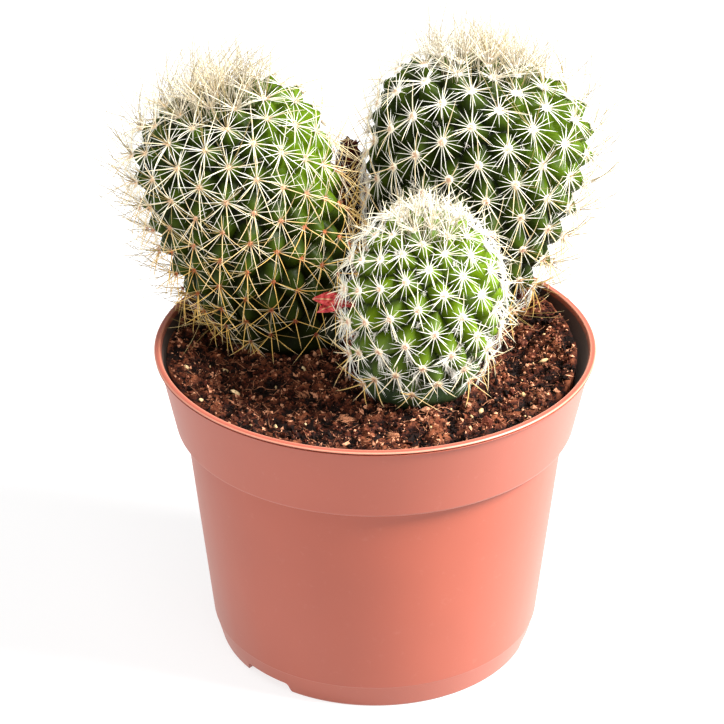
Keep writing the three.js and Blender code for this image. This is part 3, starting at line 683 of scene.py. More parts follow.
def body_grid(plant):
    """Rows of the smooth body from the crown to a root in the peat, and its outward directions."""
    h, r, _ = outline_rows(plant)
    h, r = h[:FLANK_ROWS + 1], r[:FLANK_ROWS + 1]
    length = np.concatenate([[0], np.cumsum(np.hypot(np.diff(h), np.diff(r)))])
    rows = int(length[-1] / plant.skin_step)
    along = np.linspace(plant.skin_step, length[-1], rows)
    root_h = np.array([0.9, 0.0, -1.5, -4.0])
    root_r = plant.outline(np.array(UNDERSIDE + 0.6)) - np.array([0.4, 1.0, 1.8, 4.0])
    row_h = np.concatenate([np.interp(along, length, h), root_h])
    row_r = np.concatenate([np.interp(along, length, r), root_r])
    columns = int(TURN * plant.radius / plant.skin_step)
    azimuth = np.arange(columns) * TURN / columns
    full_h = np.broadcast_to(row_h[:, None], (len(row_h), columns))
    full_r = np.broadcast_to(row_r[:, None], full_h.shape)
    points = plant.surface(full_h, full_r, np.broadcast_to(azimuth, full_h.shape))
    round_way = np.roll(points, -1, 1) - np.roll(points, 1, 1)
    down_way = np.gradient(points, axis=0)
    outward = unit(np.cross(down_way, round_way))
    return points, outward, full_h


def nearest_two(sites, points):
    """For each point, the distances of its nearest two sites and which the nearest is."""
    tree = kdtree.KDTree(len(sites))
    for i, site in enumerate(sites):
        tree.insert(site, i)
    tree.balance()
    found = [tree.find_n(p, 2) for p in points]
    near = np.array([[a[2], b[2]] for a, b in found])
    which = np.array([[a[1], b[1]] for a, b in found])
    return near, which


def skin(plant, sites, look):
    """The body's skin: a cone of flesh under each areole, with sharp valleys where the cones meet."""
    points, outward, h = body_grid(plant)
    rows, columns = h.shape
    flat, h = points.reshape(-1, 3), h.ravel()
    near, which = nearest_two(sites["place"], flat)
    share = 2 * near[:, 0] / near.sum(1)
    cells = sites["cell"][which]
    cell = (cells[:, 0] * near[:, 1] + cells[:, 1] * near[:, 0]) / near.sum(1)
    fall = 0.4 * share + 0.6 * share ** 2
    fade = smoothstep((h - UNDERSIDE) / 5)
    depth = VALLEY_DEPTH * np.sqrt(cell) * fall * fade
    uneven = noise_at(flat, 6) * 0.15 + noise_at(flat, 1.1) * 0.07
    moved = flat - outward.reshape(-1, 3) * (depth - uneven * fade)[:, None]
    crown = plant.surface(np.array([plant.height + 0.05]), np.array([0.0]), np.array([0.0]))
    # How far painted shade darkens the flesh towards the foot.
    low = plant.aged * smoothstep(1 - h / (0.55 * plant.height))
    everything = np.concatenate([moved, crown, [plant.foot + [0, 0, -4.5]]])
    # The values given here carry the painted shade in the valleys and near the foot, and the painted light
    # on the tips, the right side and the crown.
    heap = Heap().add(
        everything, pointed_tube(rows, columns, downward=True), height=np.append(1 - fall, [1, 0]),
        fresh=np.append(fresh_patch(plant, flat), [0, 0]), low=np.append(low, [0, 1]),
    )
    return heap.piece(plant.name + "_skin", look, plant.slot, plant.name)


def fresh_patch(plant, points):
    """Where painted light makes the flesh a lighter, yellower green: on the right and towards the crown."""
    k = (points[:, 2] - plant.foot[2]) / plant.height
    right = (points[:, 0] - plant.foot[0] - plant.lean[0] * k) / plant.radius
    middle, across = plant.fresh
    return np.clip(middle + across * right * smoothstep((k - 0.3) / 0.4) + 0.35 * (k - 0.4), 0, 1)


# Spines and wool
def in_the_way(plant, points):
    """Which points are inside the peat, the pot's wall or another plant."""
    x, y, z = np.moveaxis(points, -1, 0)
    blocked = z < soil_height(x, y) + 0.3
    blocked |= (z < POT_HEIGHT + 0.6) & (np.hypot(x, y) > RIM_RADIUS - LIP_WIDTH - 0.8)
    for other in PLANTS:
        if other is not plant:
            blocked |= other.holds(points, -1.2)
    return blocked


def clear_lengths(plant, roots, directions, lengths, bends):
    """Lengths cut back to where each spine would run into something."""
    free = np.ones(len(roots))
    for k in np.linspace(1, 0.1, 10):
        at = roots + directions * (lengths * k)[:, None] + bends * k * k
        free = np.where(in_the_way(plant, at), max(0.12, k - 0.1), free)
    return lengths * free


def spread(sites, count, **extra):
    """Each areole's values, repeated for its spines."""
    return {key: np.repeat(value, count, axis=0) for key, value in {**sites, **extra}.items()}


def old_age(plant, s):
    """0 on the crown's areoles, 1 on the oldest at the peat."""
    return 1 - s["h"] / plant.height


def spine_piece(kind, look, rng, plant, s, form):
    """Spines from the values in s: each one's areole, angle round it, rise from the skin and so on."""
    thin, sides, steps, root_circle = form
    angle, rise, length = s["angle"], s["rise"], s["length"]
    sideways = s["across"] * np.cos(angle)[:, None] + s["upward"] * np.sin(angle)[:, None]
    direction = unit(s["normal"] * np.sin(rise)[:, None] + sideways * np.cos(rise)[:, None])
    roots = s["place"] + s["normal"] * SPINE_ROOT_LIFT + sideways * root_circle
    bends = s["upward"] * s["lift"][:, None] - s["normal"] * s["curl"][:, None]
    bends = (bends + rng.normal(0, 0.02, (len(angle), 3))) * length[:, None]
    length = clear_lengths(plant, roots, direction, length, bends)
    bends = bends * (length / np.maximum(length, 1e-6))[:, None]
    points, faces, along = needles(roots, direction, length, bends, s["thick"], thin, sides, steps, 0.8)
    heap = Heap().add_copies(points, faces, along=along, gold=s["gold"][:, None])
    replaced = None if kind == "_long_hairs" else plant.name
    return heap.piece(plant.name + kind, look, "spines", replaced)


def radials(plant, sites, look):
    """The star of thin white spines that lies over the flanks of each tubercle, worn thin on the oldest."""
    rng = np.random.default_rng(plant.seed + 1)
    count = plant.radials
    start = rng.random(len(sites["h"])) * TURN
    s = spread(sites, count, start=start)
    s["slot"] = np.tile(np.arange(count), len(start))
    s["worn"] = plant.fading * smoothstep((old_age(plant, s) - 0.1) / 0.5)
    left = rng.random(len(s["worn"])) > 0.65 * s["worn"]
    s = {key: value[left] for key, value in s.items()}
    young, worn, total = s["young"], s["worn"], len(s["h"])
    angle = s["start"] + (s["slot"] + rng.uniform(-0.22, 0.22, total)) * TURN / count
    rise = rng.uniform(0.07, 0.36, total) * (1 - young) + rng.uniform(0.8, 1.4, total) * young
    length = plant.radial * rng.uniform(0.75, 1.2, total) * (1 - 0.25 * np.sin(angle))
    length = length * (1 - young) + plant.crown * rng.uniform(0.6, 1.0, total) * young
    gold = np.clip(rng.normal(0.15 + 0.9 * plant.gold, 0.2, total) * young + 0.7 * plant.gold * worn, 0, 1)
    thick = np.where(rng.random(total) < 0.8, RADIAL_THICK, RADIAL_SLIM)
    thick = thick * (1 - 0.5 * worn) * (1 - 0.4 * young)
    s.update(angle=angle, rise=rise, length=length, thick=thick, gold=gold)
    s.update(curl=np.full(total, 0.06), lift=np.zeros(total))
    spine_piece("_radial_spines", look, rng, plant, s, RADIAL_FORM)


def centrals(plant, sites, look):
    """The few long stout spines that stand out from each areole."""
    rng = np.random.default_rng(plant.seed + 2)
    s = spread(sites, len(plant.centrals))
    total = len(s["h"])
    angles, lengths = np.tile(np.array(plant.centrals, float).T, len(sites["h"]))
    angle = np.radians(angles + rng.normal(0, 13, total))
    young = s["young"]
    rise = rng.uniform(0.45, 0.95, total) * (1 - young) + rng.uniform(1.0, 1.45, total) * young
    length = lengths * rng.uniform(0.82, 1.15, total)
    length = length * (1 - young) + plant.crown * rng.uniform(0.75, 1.05, total) * young
    age = old_age(plant, s)
    oldest = smoothstep((age - 0.65) / 0.25)
    length = length * (1 - 0.25 * plant.fading * age + 0.35 * (1 - plant.fading) * oldest)
    gold = np.clip(plant.gold * (0.1 + 2.1 * age) + 0.6 * oldest + rng.normal(0, 0.12, total), 0, 1)
    curl = rng.uniform(0.02, 0.3, total)
    lift = np.where(np.sin(angle) > 0, rng.uniform(0.05, 0.35, total), rng.uniform(-0.12, 0.12, total))
    thick = CENTRAL_THICK - 0.06 * plant.fading * age
    s.update(angle=angle, rise=rise, length=length, thick=thick, gold=gold, curl=curl, lift=lift)
    spine_piece("_central_spines", look, rng, plant, s, CENTRAL_FORM)


def long_hairs(plant, sites, look):
    """Long thin hairs that stand out on the body's outer side and arch towards the crown."""
    rng = np.random.default_rng(plant.seed + 6)
    s = spread(sites, plant.hairs)
    outer = s["normal"][:, :2] @ unit(plant.foot[:2] - CLUMP_MIDDLE) > -0.1 - 0.8 * s["young"]
    s = {key: value[outer] for key, value in s.items()}
    total = len(s["h"])
    angle = np.radians(rng.normal(90, 60, total))
    rise = rng.uniform(0.5, 1.2, total)
    length = rng.uniform(8, 18, total) * (1 + 0.1 * s["young"])
    gold = np.clip(rng.normal(0.2 + 0.6 * old_age(plant, s), 0.2), 0, 1)
    curl, lift = rng.uniform(-0.1, 0.25, total), rng.uniform(-0.1, 0.5, total)
    s.update(angle=angle, rise=rise, length=length, thick=HAIR_THICK, gold=gold, curl=curl, lift=lift)
    spine_piece("_long_hairs", look, rng, plant, s, HAIR_FORM)


def areole_wool(plant, sites, look):
    """A small felted cushion on each tubercle, with short fibres standing out of it."""
    rng = np.random.default_rng(plant.seed + 3)
    points, faces = ball(2)
    age = old_age(plant, sites)
    size = plant.areole * np.minimum(1, np.sqrt(sites["cell"] / plant.cell) + 0.1)
    size = size * (1 - 0.25 * age)
    shape = points[None] * (1 + 0.3 * (rng.random((len(size), len(points), 1)) - 0.5))
    axes = np.stack([sites["across"], sites["upward"], sites["normal"] * 0.6], 1)
    placed = sites["place"][:, None] + sites["normal"][:, None] * 0.25
    placed = placed + np.einsum("npi,nij->npj", shape, axes) * size[:, None, None]
    core = smoothstep((points[:, 2] - 0.62) / 0.3)
    heap = Heap().add_copies(placed, [faces], age=age[:, None], core=core)
    s = spread(sites, AREOLE_FIBRES, size=size, age=age)
    total = len(s["h"])
    way = unit(rng.normal(size=(total, 3)) + s["normal"] * 0.6)
    roots = s["place"] + s["normal"] * 0.2 + way * (s["size"] * 0.55)[:, None]
    bends = rng.normal(0, 0.25, (total, 3))
    points, faces, _ = needles(roots, way, s["size"] * 1.1, bends, *WOOL_FORM)
    heap.add_copies(points, faces, age=s["age"][:, None], core=0)
    return heap.piece(plant.name + "_areole_wool", look, "wool")


def crown_tuft(plant, look):
    """Young spines that stand close together on the growing tip."""
    rng = np.random.default_rng(plant.seed + 4)
    total = plant.tuft
    spot = rng.random(total) ** 0.6 * plant.tuft_width
    azimuth = rng.random(total) * TURN
    x, y = plant.radius * spot * np.cos(azimuth) + plant.tuft_shift, plant.radius * spot * np.sin(azimuth)
    reach, azimuth = np.hypot(x, y), np.arctan2(y, x)
    rows = np.linspace(plant.height, plant.widest, 200)
    h = np.interp(reach, plant.outline(rows), rows)
    place = plant.surface(h, reach, azimuth)
    normal = unit(place - (plant.foot + [plant.lean[0] * 0.6, plant.lean[1] * 0.6, plant.height * 0.55]))
    way = unit(normal + [0, 0, 0.25] + rng.normal(0, 0.2, (total, 3)))
    length = plant.crown * rng.uniform(0.55, 1.25, total) * (1 - 0.3 * spot)
    bends = rng.normal(0, 0.02 + 0.07 * plant.gold, (total, 3)) * length[:, None]
    points, faces, along = needles(place - normal * 1.5, way, length, bends, *TUFT_FORM)
    gold = np.clip(rng.normal(0.4, 0.2, total), 0, 1)
    heap = Heap().add_copies(points, faces, along=along, gold=gold[:, None])
    return heap.piece(plant.name + "_crown_tuft", look, "spines")


def axil_wool(plant, sites, look):
    """White wool in some of the valleys between tubercles, which may run down the lower ones in streaks."""
    rng = np.random.default_rng(plant.seed + 5)
    share, streaky = plant.wool
    place, normal = valley_spots(sites, rng, share)
    low = streaky * smoothstep(1.25 - 2 * (place[:, 2] - plant.foot[2]) / plant.height)
    lean = np.clip(rng.normal(0.25, 0.3, len(place)), -0.6, 0.8)
    down = np.stack([lean, 0 * lean, -1 + 0 * lean], -1)
    down = unit(down - normal * (down * normal).sum(-1, keepdims=True))
    s = spread({"place": place, "normal": normal, "down": down, "low": low}, AXIL_FIBRES)
    total = len(s["place"])
    streak = s["low"][:, None]
    spray = rng.normal(size=(total, 3)) * (1 - 0.75 * streak)
    way = unit(spray + s["normal"] * 0.5 + s["down"] * streak * 1.2)
    slide = rng.normal(0, 1, (total, 1)) * (0.2 + 2.0 * streak)
    roots = s["place"] + s["down"] * slide + rng.normal(0, 0.35, (total, 3)) + s["normal"] * 1.5 * streak
    length = rng.uniform(0.7, 1.6, total) * (1 + 2.0 * s["low"])
    points, faces, _ = needles(roots, way, length, rng.normal(0, 0.3, (total, 3)), *WOOL_FORM)
    return Heap().add_copies(points, faces, age=0, core=0).piece(plant.name + "_axil_wool", look, "wool")


def valley_spots(sites, rng, share):
    """Points at the bottoms of the valleys, where three tubercles meet."""
    places = sites["place"]
    spots, ways = [], []
    for i, place in enumerate(places):
        gaps = np.linalg.norm(places - place, axis=1)
        reach = 1.42 * math.sqrt(sites["cell"][i])
        near = [a for a in np.argsort(gaps)[1:7] if a > i and gaps[a] < reach]
        for a, b in ((a, b) for a in near for b in near if a < b):
            if np.linalg.norm(places[a] - places[b]) < reach and rng.random() < share:
                normal = unit(sites["normal"][[i, a, b]].sum(0))
                depth = VALLEY_DEPTH * math.sqrt(sites["cell"][i]) * 0.86
                spots.append(places[[i, a, b]].mean(0) - normal * depth)
                ways.append(normal)
    return np.array(spots), np.array(ways)


# Dried stem and flower
def stem_middle(up):
    """The middle of the bowed stem, from 0 at its foot in the peat to 1 at its top."""
    foot = np.array(STEM_FOOT, float) - [0, 0, STEM_DEPTH]
    x = foot[0] + (STEM_TOP[0] - foot[0]) * up ** 1.5
    return np.stack([x, foot[1] + 0 * up, foot[2] + (STEM_TOP[2] - foot[2]) * up], -1)


def stem_radius(up):
    waist = STEM_FOOT_RADIUS + (STEM_RADIUS - STEM_FOOT_RADIUS) * smoothstep(up * 1.4)
    swollen = 2.0 * smoothstep((0.7 - up) / 0.12)
    return (waist * (1 + 0.1 * np.sin(up * 9)) + swollen) * np.sqrt(np.maximum(0.25, 1 - up ** 8))


def dried_stem(look):
    """A brown stem shrivelled into pits and ribs, with dry shreds of its skin curling off it."""
    rng = np.random.default_rng(STEM_SEED)
    rows, sides = 180, 64
    up = np.linspace(0, 1, rows)
    angle = np.arange(sides) * TURN / sides
    ribs = 0.09 * np.cos(7 * angle) + 0.05 * np.sin(3 * angle + 14 * up[:, None])
    radius = stem_radius(up)[:, None] * (1 + ribs)
    ring = np.stack([np.cos(angle), np.sin(angle), 0 * angle], -1)
    flat = (stem_middle(up)[:, None] + ring * radius[..., None]).reshape(-1, 3)
    pits = np.array([shrivelled(p) for p in flat])
    flat = flat + np.tile(ring, (rows, 1)) * pits[:, None]
    ends = stem_middle(np.array([0.0, 1.0])) - [[0, 0, 0.3], [0, 0, -0.7]]
    withered = np.repeat(smoothstep((0.72 - up) / 0.06), sides)
    # The stem is lighter on its raised lumps and darker in its pits: painted light and shade.
    heap = Heap().add(
        np.concatenate([flat, ends]), pointed_tube(rows, sides),
        tone=np.append(0.35 + 0.5 * pits, [0.3, 0.5]), dry=0, withered=np.append(withered, [1, 0]),
    )
    for _ in range(SHREDS):
        add_shred(heap, rng)
    return heap.piece("dried_stem_skin", look, "dry_tissue", "dried_stem")


def add_shred(heap, rng):
    """One shred of the stem's dry skin, larger and more curled low down."""
    at = rng.uniform(0.2, 1.0) ** 0.9
    azimuth = rng.random() * TURN
    spoke = np.array([math.cos(azimuth), math.sin(azimuth), 0])
    low = at < 0.66
    size = rng.uniform(3.5, 8) if low else rng.uniform(1.4, 3.4)
    start = stem_middle(np.array([at]))[0] + spoke * (stem_radius(np.array([at]))[0] - 0.3)
    x, y = rng.normal(0, 0.5), rng.normal(0, 0.3)
    way = unit(np.array([x, y, 1 if rng.random() < 0.6 else -1]) + spoke * 0.2)
    out = rng.uniform(0.3, 1.0) * (2.6 if low else 0.7)
    steps = 7
    path = curve(start, start + way * size * 0.5 + spoke * 0.25, start + way * size + spoke * out, steps)
    belly = np.sin(np.linspace(0.25, 1, steps) * math.pi) ** 0.6
    width = (0.25 + rng.uniform(0.35, 0.9) * belly) * (1 if low else 0.6)
    leaf, faces, _ = blade(path, np.cross(spoke, way), width, 0.13, 0.35, 0.35, rng.uniform(0, 90), 10)
    dry = rng.uniform(0.4, 1.0) if low else rng.uniform(0, 0.35)
    heap.add(leaf, faces, tone=rng.uniform(0.25, 0.9), dry=dry, withered=0)


def shrivelled(p):
    """Depth of the dried stem's pits, lumps and cracks at a point."""
    v = Vector((p[0], p[1], p[2] * 0.7))
    swells = noise.noise(v / 2.2) * 0.9
    scales = 0.5 - noise.voronoi(v / 1.5)[0][0]
    fine = 0.4 - noise.voronoi(v / 0.6)[0][0]
    return swells * 0.45 + scales * 0.75 + fine * 0.22


def flower(look):
    """The wilted flower: a thin tube and limp folded petals."""
    side = np.array([0.05, 0.48, 0.88])
    k = np.linspace(0, 1, 16)
    points, faces, across = blade(
        curve(*FLOWER_TUBE, len(k)), side * [0, 1, 1], 0.45 + 0.75 * k ** 2, 0.9, 0, 0.3, 3.0, 20)
    heap = Heap().add(points, faces, across=np.abs(across))
    k = np.linspace(0, 1, 40)
    for i, (places, half) in enumerate(PETALS):
        width = half * (0.35 + 0.65 * np.sin(np.clip(k * 1.05, 0, 1) ** 0.8 * math.pi) ** 0.8)
        width = width * np.sqrt(np.maximum(0.02, 1 - k ** 5))
        points, faces, across = blade(curve(*places, len(k)), side, width, 0.14, -0.35, 0.9, 11.0 * i, 36)
        heap.add(points, faces, across=np.abs(across))
    return heap.piece("wilted_flower", look, "petal", "flower")


# Pot
def rounded(points, radius, steps=4):
    """The profile with each inner corner rounded where its neighbours leave room."""
    points = [np.array(p, float) for p in points]
    out = [points[0]]
    for before, corner, after in zip(points, points[1:], points[2:]):
        back, on = before - corner, after - corner
        r = min(radius, np.linalg.norm(back) * 0.45, np.linalg.norm(on) * 0.45)
        start, end = corner + unit(back) * r, corner + unit(on) * r
        for k in np.linspace(0, 1, steps):
            out.append((1 - k) ** 2 * start + 2 * k * (1 - k) * corner + k * k * end)
    return out + [points[-1]]


def pot_profile():
    """[radius, height] from the middle of the underside up the outside and down inside."""
    floor_top = FLOOR_LIFT + WALL
    under_band = BAND_BOTTOM - 0.6
    lip_bottom = POT_HEIGHT - LIP_HEIGHT
    inner_foot = BASE_RADIUS - FOOT_RING_WIDTH
    seam = 0.12
    foot_slope = (BODY_RADIUS - FOOT_TOP_RADIUS) / (under_band - FOOT_HEIGHT)
    return rounded([
        [0.01, 0], [CENTRE_PAD_RADIUS, 0], [CENTRE_PAD_RADIUS + 1, FLOOR_LIFT],
        [inner_foot - 0.6, FLOOR_LIFT], [inner_foot, 0],
        [BASE_RADIUS - 0.4, 0], [BASE_RADIUS, 0.5], [FOOT_TOP_RADIUS, FOOT_HEIGHT],
        [FOOT_TOP_RADIUS + seam, FOOT_HEIGHT + 0.15],
        [BODY_RADIUS - 3 * foot_slope, under_band - 3],
        [BODY_RADIUS, under_band], [BAND_RADIUS_LOW - 0.4, under_band], [BAND_RADIUS_LOW, BAND_BOTTOM],
        [BAND_RADIUS_HIGH, lip_bottom], [RIM_RADIUS - 0.1, lip_bottom + 0.05],
        [RIM_RADIUS - 0.1, LIP_GROOVE - 0.2], [RIM_RADIUS - 0.6, LIP_GROOVE - 0.15],
        [RIM_RADIUS - 0.6, LIP_GROOVE + 0.15], [RIM_RADIUS, LIP_GROOVE + 0.2],
        [RIM_RADIUS, POT_HEIGHT - 0.35], [RIM_RADIUS - 0.4, POT_HEIGHT],
        [RIM_RADIUS - LIP_WIDTH + 0.3, POT_HEIGHT], [RIM_RADIUS - LIP_WIDTH, POT_HEIGHT - 0.4],
        [RIM_RADIUS - LIP_WIDTH - 0.3, POT_HEIGHT - 1.6], [RIM_RADIUS - LIP_WIDTH - 0.6, POT_HEIGHT - 2.8],
        [BAND_RADIUS_LOW - WALL, under_band + WALL], [BODY_RADIUS - WALL, under_band + WALL],
        [FOOT_TOP_RADIUS - WALL, FOOT_HEIGHT], [BASE_RADIUS - WALL, floor_top],
        [CENTRE_PAD_RADIUS - 1, floor_top], [CENTRE_PAD_RADIUS - 1.6, WALL], [0.01, WALL],
    ], 0.35)


def turned(profile, sides):
    """Points and faces of a solid of revolution whose profile starts and ends on the axis."""
    r, z = np.array(profile).T
    angle = np.arange(sides) * TURN / sides
    x, y = r[:, None] * np.cos(angle), r[:, None] * np.sin(angle)
    points = np.stack([x, y, np.broadcast_to(z[:, None], x.shape)], -1).reshape(-1, 3)
    return points, capped_tube(len(r), sides)


def notch_cutter(azimuth):
    """A rounded opening through the foot ring, open at the bottom."""
    half = NOTCH_WIDTH / 2
    k = np.linspace(0, math.pi / 2, 7)
    side_x = half - 2 - 1.2 * (1 - np.cos(k))
    side_z = NOTCH_HEIGHT - 1.2 + 1.2 * np.sin(k)
    right = np.concatenate([[[half, -1]], [[half - 1.4, 0.2]], np.stack([side_x, side_z], -1)])
    outline = np.concatenate([right, right[::-1] * [-1, 1]])
    near, far = BASE_RADIUS - 2.4 * FOOT_RING_WIDTH, BASE_RADIUS + FOOT_RING_WIDTH
    points = np.array([[d, x, z] for d in (near, far) for x, z in outline])
    a = math.radians(azimuth)
    turn = np.array([[math.cos(a), math.sin(a), 0], [-math.sin(a), math.cos(a), 0], [0, 0, 1]])
    return points @ turn, capped_tube(2, len(outline))


def drain_cutter(azimuth):
    points, faces = turned([[0.01, -1], [DRAIN_RADIUS, -1], [DRAIN_RADIUS, 8], [0.01, 8]], 32)
    a = math.radians(azimuth)
    return points + [DRAIN_CIRCLE * math.cos(a), DRAIN_CIRCLE * math.sin(a), 0], faces


def pot():
    """The pot, with values for the darker inner side and for the way across the lip, where the painted lines
    lie.
    """
    profile = np.array(pot_profile())
    points, faces = turned(profile, POT_SIDES)
    below_lip = smoothstep((POT_HEIGHT - 0.5 - profile[:, 1]) / 1.5)
    past_rim = np.arange(len(profile)) > np.argmax(profile[:, 1])
    length = np.concatenate([[0], np.cumsum(np.hypot(*np.diff(profile, axis=0).T))])
    ends = [int(np.argmin(np.hypot(*(profile - at).T))) for at in (
        [RIM_RADIUS - 0.6, LIP_GROOVE], [RIM_RADIUS - LIP_WIDTH, POT_HEIGHT - 0.4])]
    lip = (length - length[ends[0]]) / (length[ends[1]] - length[ends[0]])
    lip = np.where((lip < 0) | (lip > 1), 0, lip)
    values = {"inside": np.repeat(below_lip * past_rim, POT_SIDES), "lip": np.repeat(lip, POT_SIDES)}
    piece = Heap().add(points, faces, **values).piece("moulded_pot", pot_look(), "pot_plastic", "pot")
    cutters = [notch_cutter(a) for a in NOTCH_AZIMUTHS] + [drain_cutter(a) for a in DRAIN_AZIMUTHS]
    cut_away(piece, [Heap().add(*cutter).shape("cutter") for cutter in cutters])
    piece.data.shade_smooth()
    piece.data.set_sharp_from_angle(angle=math.radians(38))


def cut_away(piece, cutters):
    """Cuts each cutter out of the piece, and removes the cutters."""
    for cutter in cutters:
        modifier = piece.modifiers.new("cut", "BOOLEAN")
        modifier.operation = "DIFFERENCE"
        modifier.solver = "EXACT"
        modifier.object = cutter
    depsgraph = bpy.context.evaluated_depsgraph_get()
    result = bpy.data.meshes.new_from_object(piece.evaluated_get(depsgraph))
    piece.modifiers.clear()
    piece.data = result
    for cutter in cutters:
        bpy.data.objects.remove(cutter)


# Peat
def soil_height(x, y):
    off = ((x - MOUND_AT[0]) ** 2 + (y - MOUND_AT[1]) ** 2) / (2 * MOUND_SPREAD ** 2)
    lumpy = 0.22 * np.sin(0.37 * x + 0.9) * np.cos(0.41 * y) + 0.16 * np.sin(0.83 * x - 0.6 * y)
    outer = smoothstep((np.hypot(x, y) - BANK_INNER_RADIUS) / BANK_WIDTH)
    return SOIL_EDGE_HEIGHT + SOIL_MOUND * np.exp(-off) + lumpy + bank(np.arctan2(y, x)) * outer


def bank(azimuth):
    """How high the peat is heaped against the wall, which it is all round but for the front."""
    away = np.abs((azimuth - math.radians(BANK_AZIMUTH) + math.pi) % TURN - math.pi)
    return BANK * smoothstep((2.62 - away) / 0.87)


def soil_edge(azimuth):
    facing = np.maximum(0, np.cos(azimuth - math.radians(SHRINK_AZIMUTH)))
    return SOIL_RADIUS - SHRINK * facing ** 3 - 0.35 * (1 + np.sin(7 * azimuth)) + 0.22 * bank(azimuth)


def soil(look):
    """The peat: a crumbly top, and plain sides inside the pot."""
    sides, rings = 400, 115
    angle = np.arange(sides) * TURN / sides
    share = (np.arange(1, rings + 1) / rings) ** 0.85
    r = share[:, None] * soil_edge(angle)
    x, y = r * np.cos(angle), r * np.sin(angle)
    flat = np.stack([x, y, soil_height(x, y)], -1).reshape(-1, 3)
    rough = np.array([crumbling(p) for p in flat])
    edge = smoothstep((1 - np.repeat(share, sides)) * 14)
    flat[:, 2] += rough * (0.35 + 0.65 * edge)
    under_band = BAND_BOTTOM - 0.6 + WALL
    floor = FLOOR_LIFT + WALL + GAP
    walls = (
        (BAND_RADIUS_LOW - WALL + 0.9, 76), (BAND_RADIUS_LOW - WALL - 0.4, under_band + GAP),
        (BODY_RADIUS - WALL - 0.4, under_band + GAP), (FOOT_TOP_RADIUS - WALL - 0.4, FOOT_HEIGHT),
        (BASE_RADIUS - WALL - 0.6, floor),
    )
    side = [np.stack([wr * np.cos(angle), wr * np.sin(angle), np.full(sides, wz)], -1) for wr, wz in walls]
    points = np.concatenate([flat, *side, [[0, 0, soil_height(0, 0)], [0, 0, floor]]])
    tone = np.full(len(points), 0.5)
    # Painted light and shade: lighter where the crumbly surface stands high, darker in its hollows.
    tone[:len(rough)] += 0.45 * rough
    faces = pointed_tube(rings + len(walls), sides, downward=True)
    return Heap().add(points, faces, tone=np.clip(tone, 0, 1)).piece("peat_bed", look, "peat", "soil")


def crumbling(p):
    """Height of the crumbly surface over the smooth one."""
    v = Vector(p)
    coarse = noise.fractal(v / 4.5, 0.9, 2, 3)
    crumbs = 0.5 - noise.voronoi(v / 2.1)[0][0]
    fine = noise.noise(v / 0.5)
    return 1.2 * coarse + 1.5 * crumbs + 0.45 * fine


def scatter(rng, count, edge_gap=0.8):
    """Places on the peat, clear of the plants' middles."""
    azimuth = rng.random(count * 2) * TURN
    r = np.sqrt(rng.uniform(0, 1, count * 2)) * (soil_edge(azimuth) - edge_gap)
    x, y = r * np.cos(azimuth), r * np.sin(azimuth)
    free = np.ones(len(x), bool)
    for plant in PLANTS:
        free &= np.hypot(x - plant.foot[0], y - plant.foot[1]) > plant.foot_radius - 3
    x, y = x[free][:count], y[free][:count]
    return np.stack([x, y, soil_height(x, y)], -1)


def on_peat(x, y, above):
    """A place on the crumbly surface, or above it."""
    z = float(soil_height(np.float64(x), np.float64(y)))
    return np.array([x, y, z + crumbling((x, y, z)) + above])


def resting(rng, places, above):
    """The places lifted on to the crumbly surface, about as far over it as above, and its relief there."""
    relief = np.array([crumbling(p) for p in places])
    places[:, 2] += relief + rng.normal(above, 0.14, len(places))
    return places, relief


def crumbs(look):
    """Small crumbs and larger lumps of peat, painted lighter where they stand high and darker where they lie
    low: painted light and shade.
    """
    rng = np.random.default_rng(CRUMB_SEED)
    heap = Heap()
    small, relief = resting(rng, scatter(rng, CRUMBS), 0.1)
    sizes = rng.lognormal(-1.42, 0.45, len(small))
    # Random tone, lighter on high crumbs and darker in hollows: painted light and shade.
    tone = rng.random(len(small)) ** 2.2 + 0.3 * relief
    lumps(heap, rng, small, sizes, 0, 0.4, 0.4, np.clip(tone, 0, 1))
    big, relief = resting(rng, scatter(rng, BIG_CRUMBS, 1.6), 0.1)
    sizes = rng.lognormal(-0.6, 0.3, len(big))
    # The big lumps too are lighter where they stand high: painted light and shade.
    lumps(heap, rng, big, sizes, 2, 0.6, 0.3, np.clip(0.6 * rng.random(len(big)) + 0.25 * relief, 0, 1))
    return heap.piece("peat_crumbs", look, "peat", sharp=24)


def pale_grains(look):
    """Pale stony grains among the peat."""
    rng = np.random.default_rng(GRAIN_SEED)
    places = np.array([on_peat(x, y, size * 0.5) for x, y, size in PALE_GRAINS])
    strays, _ = resting(rng, scatter(rng, STRAY_GRAINS, 2), 0.2)
    sizes = np.concatenate([[size for _, _, size in PALE_GRAINS], rng.lognormal(-1.3, 0.3, len(strays))])
    places = np.concatenate([places, strays])
    heap = Heap()
    lumps(heap, rng, places, sizes, 2, 0.12, 0.3, rng.random(len(places)))
    return heap.piece("peat_pale_grains", look, "peat")


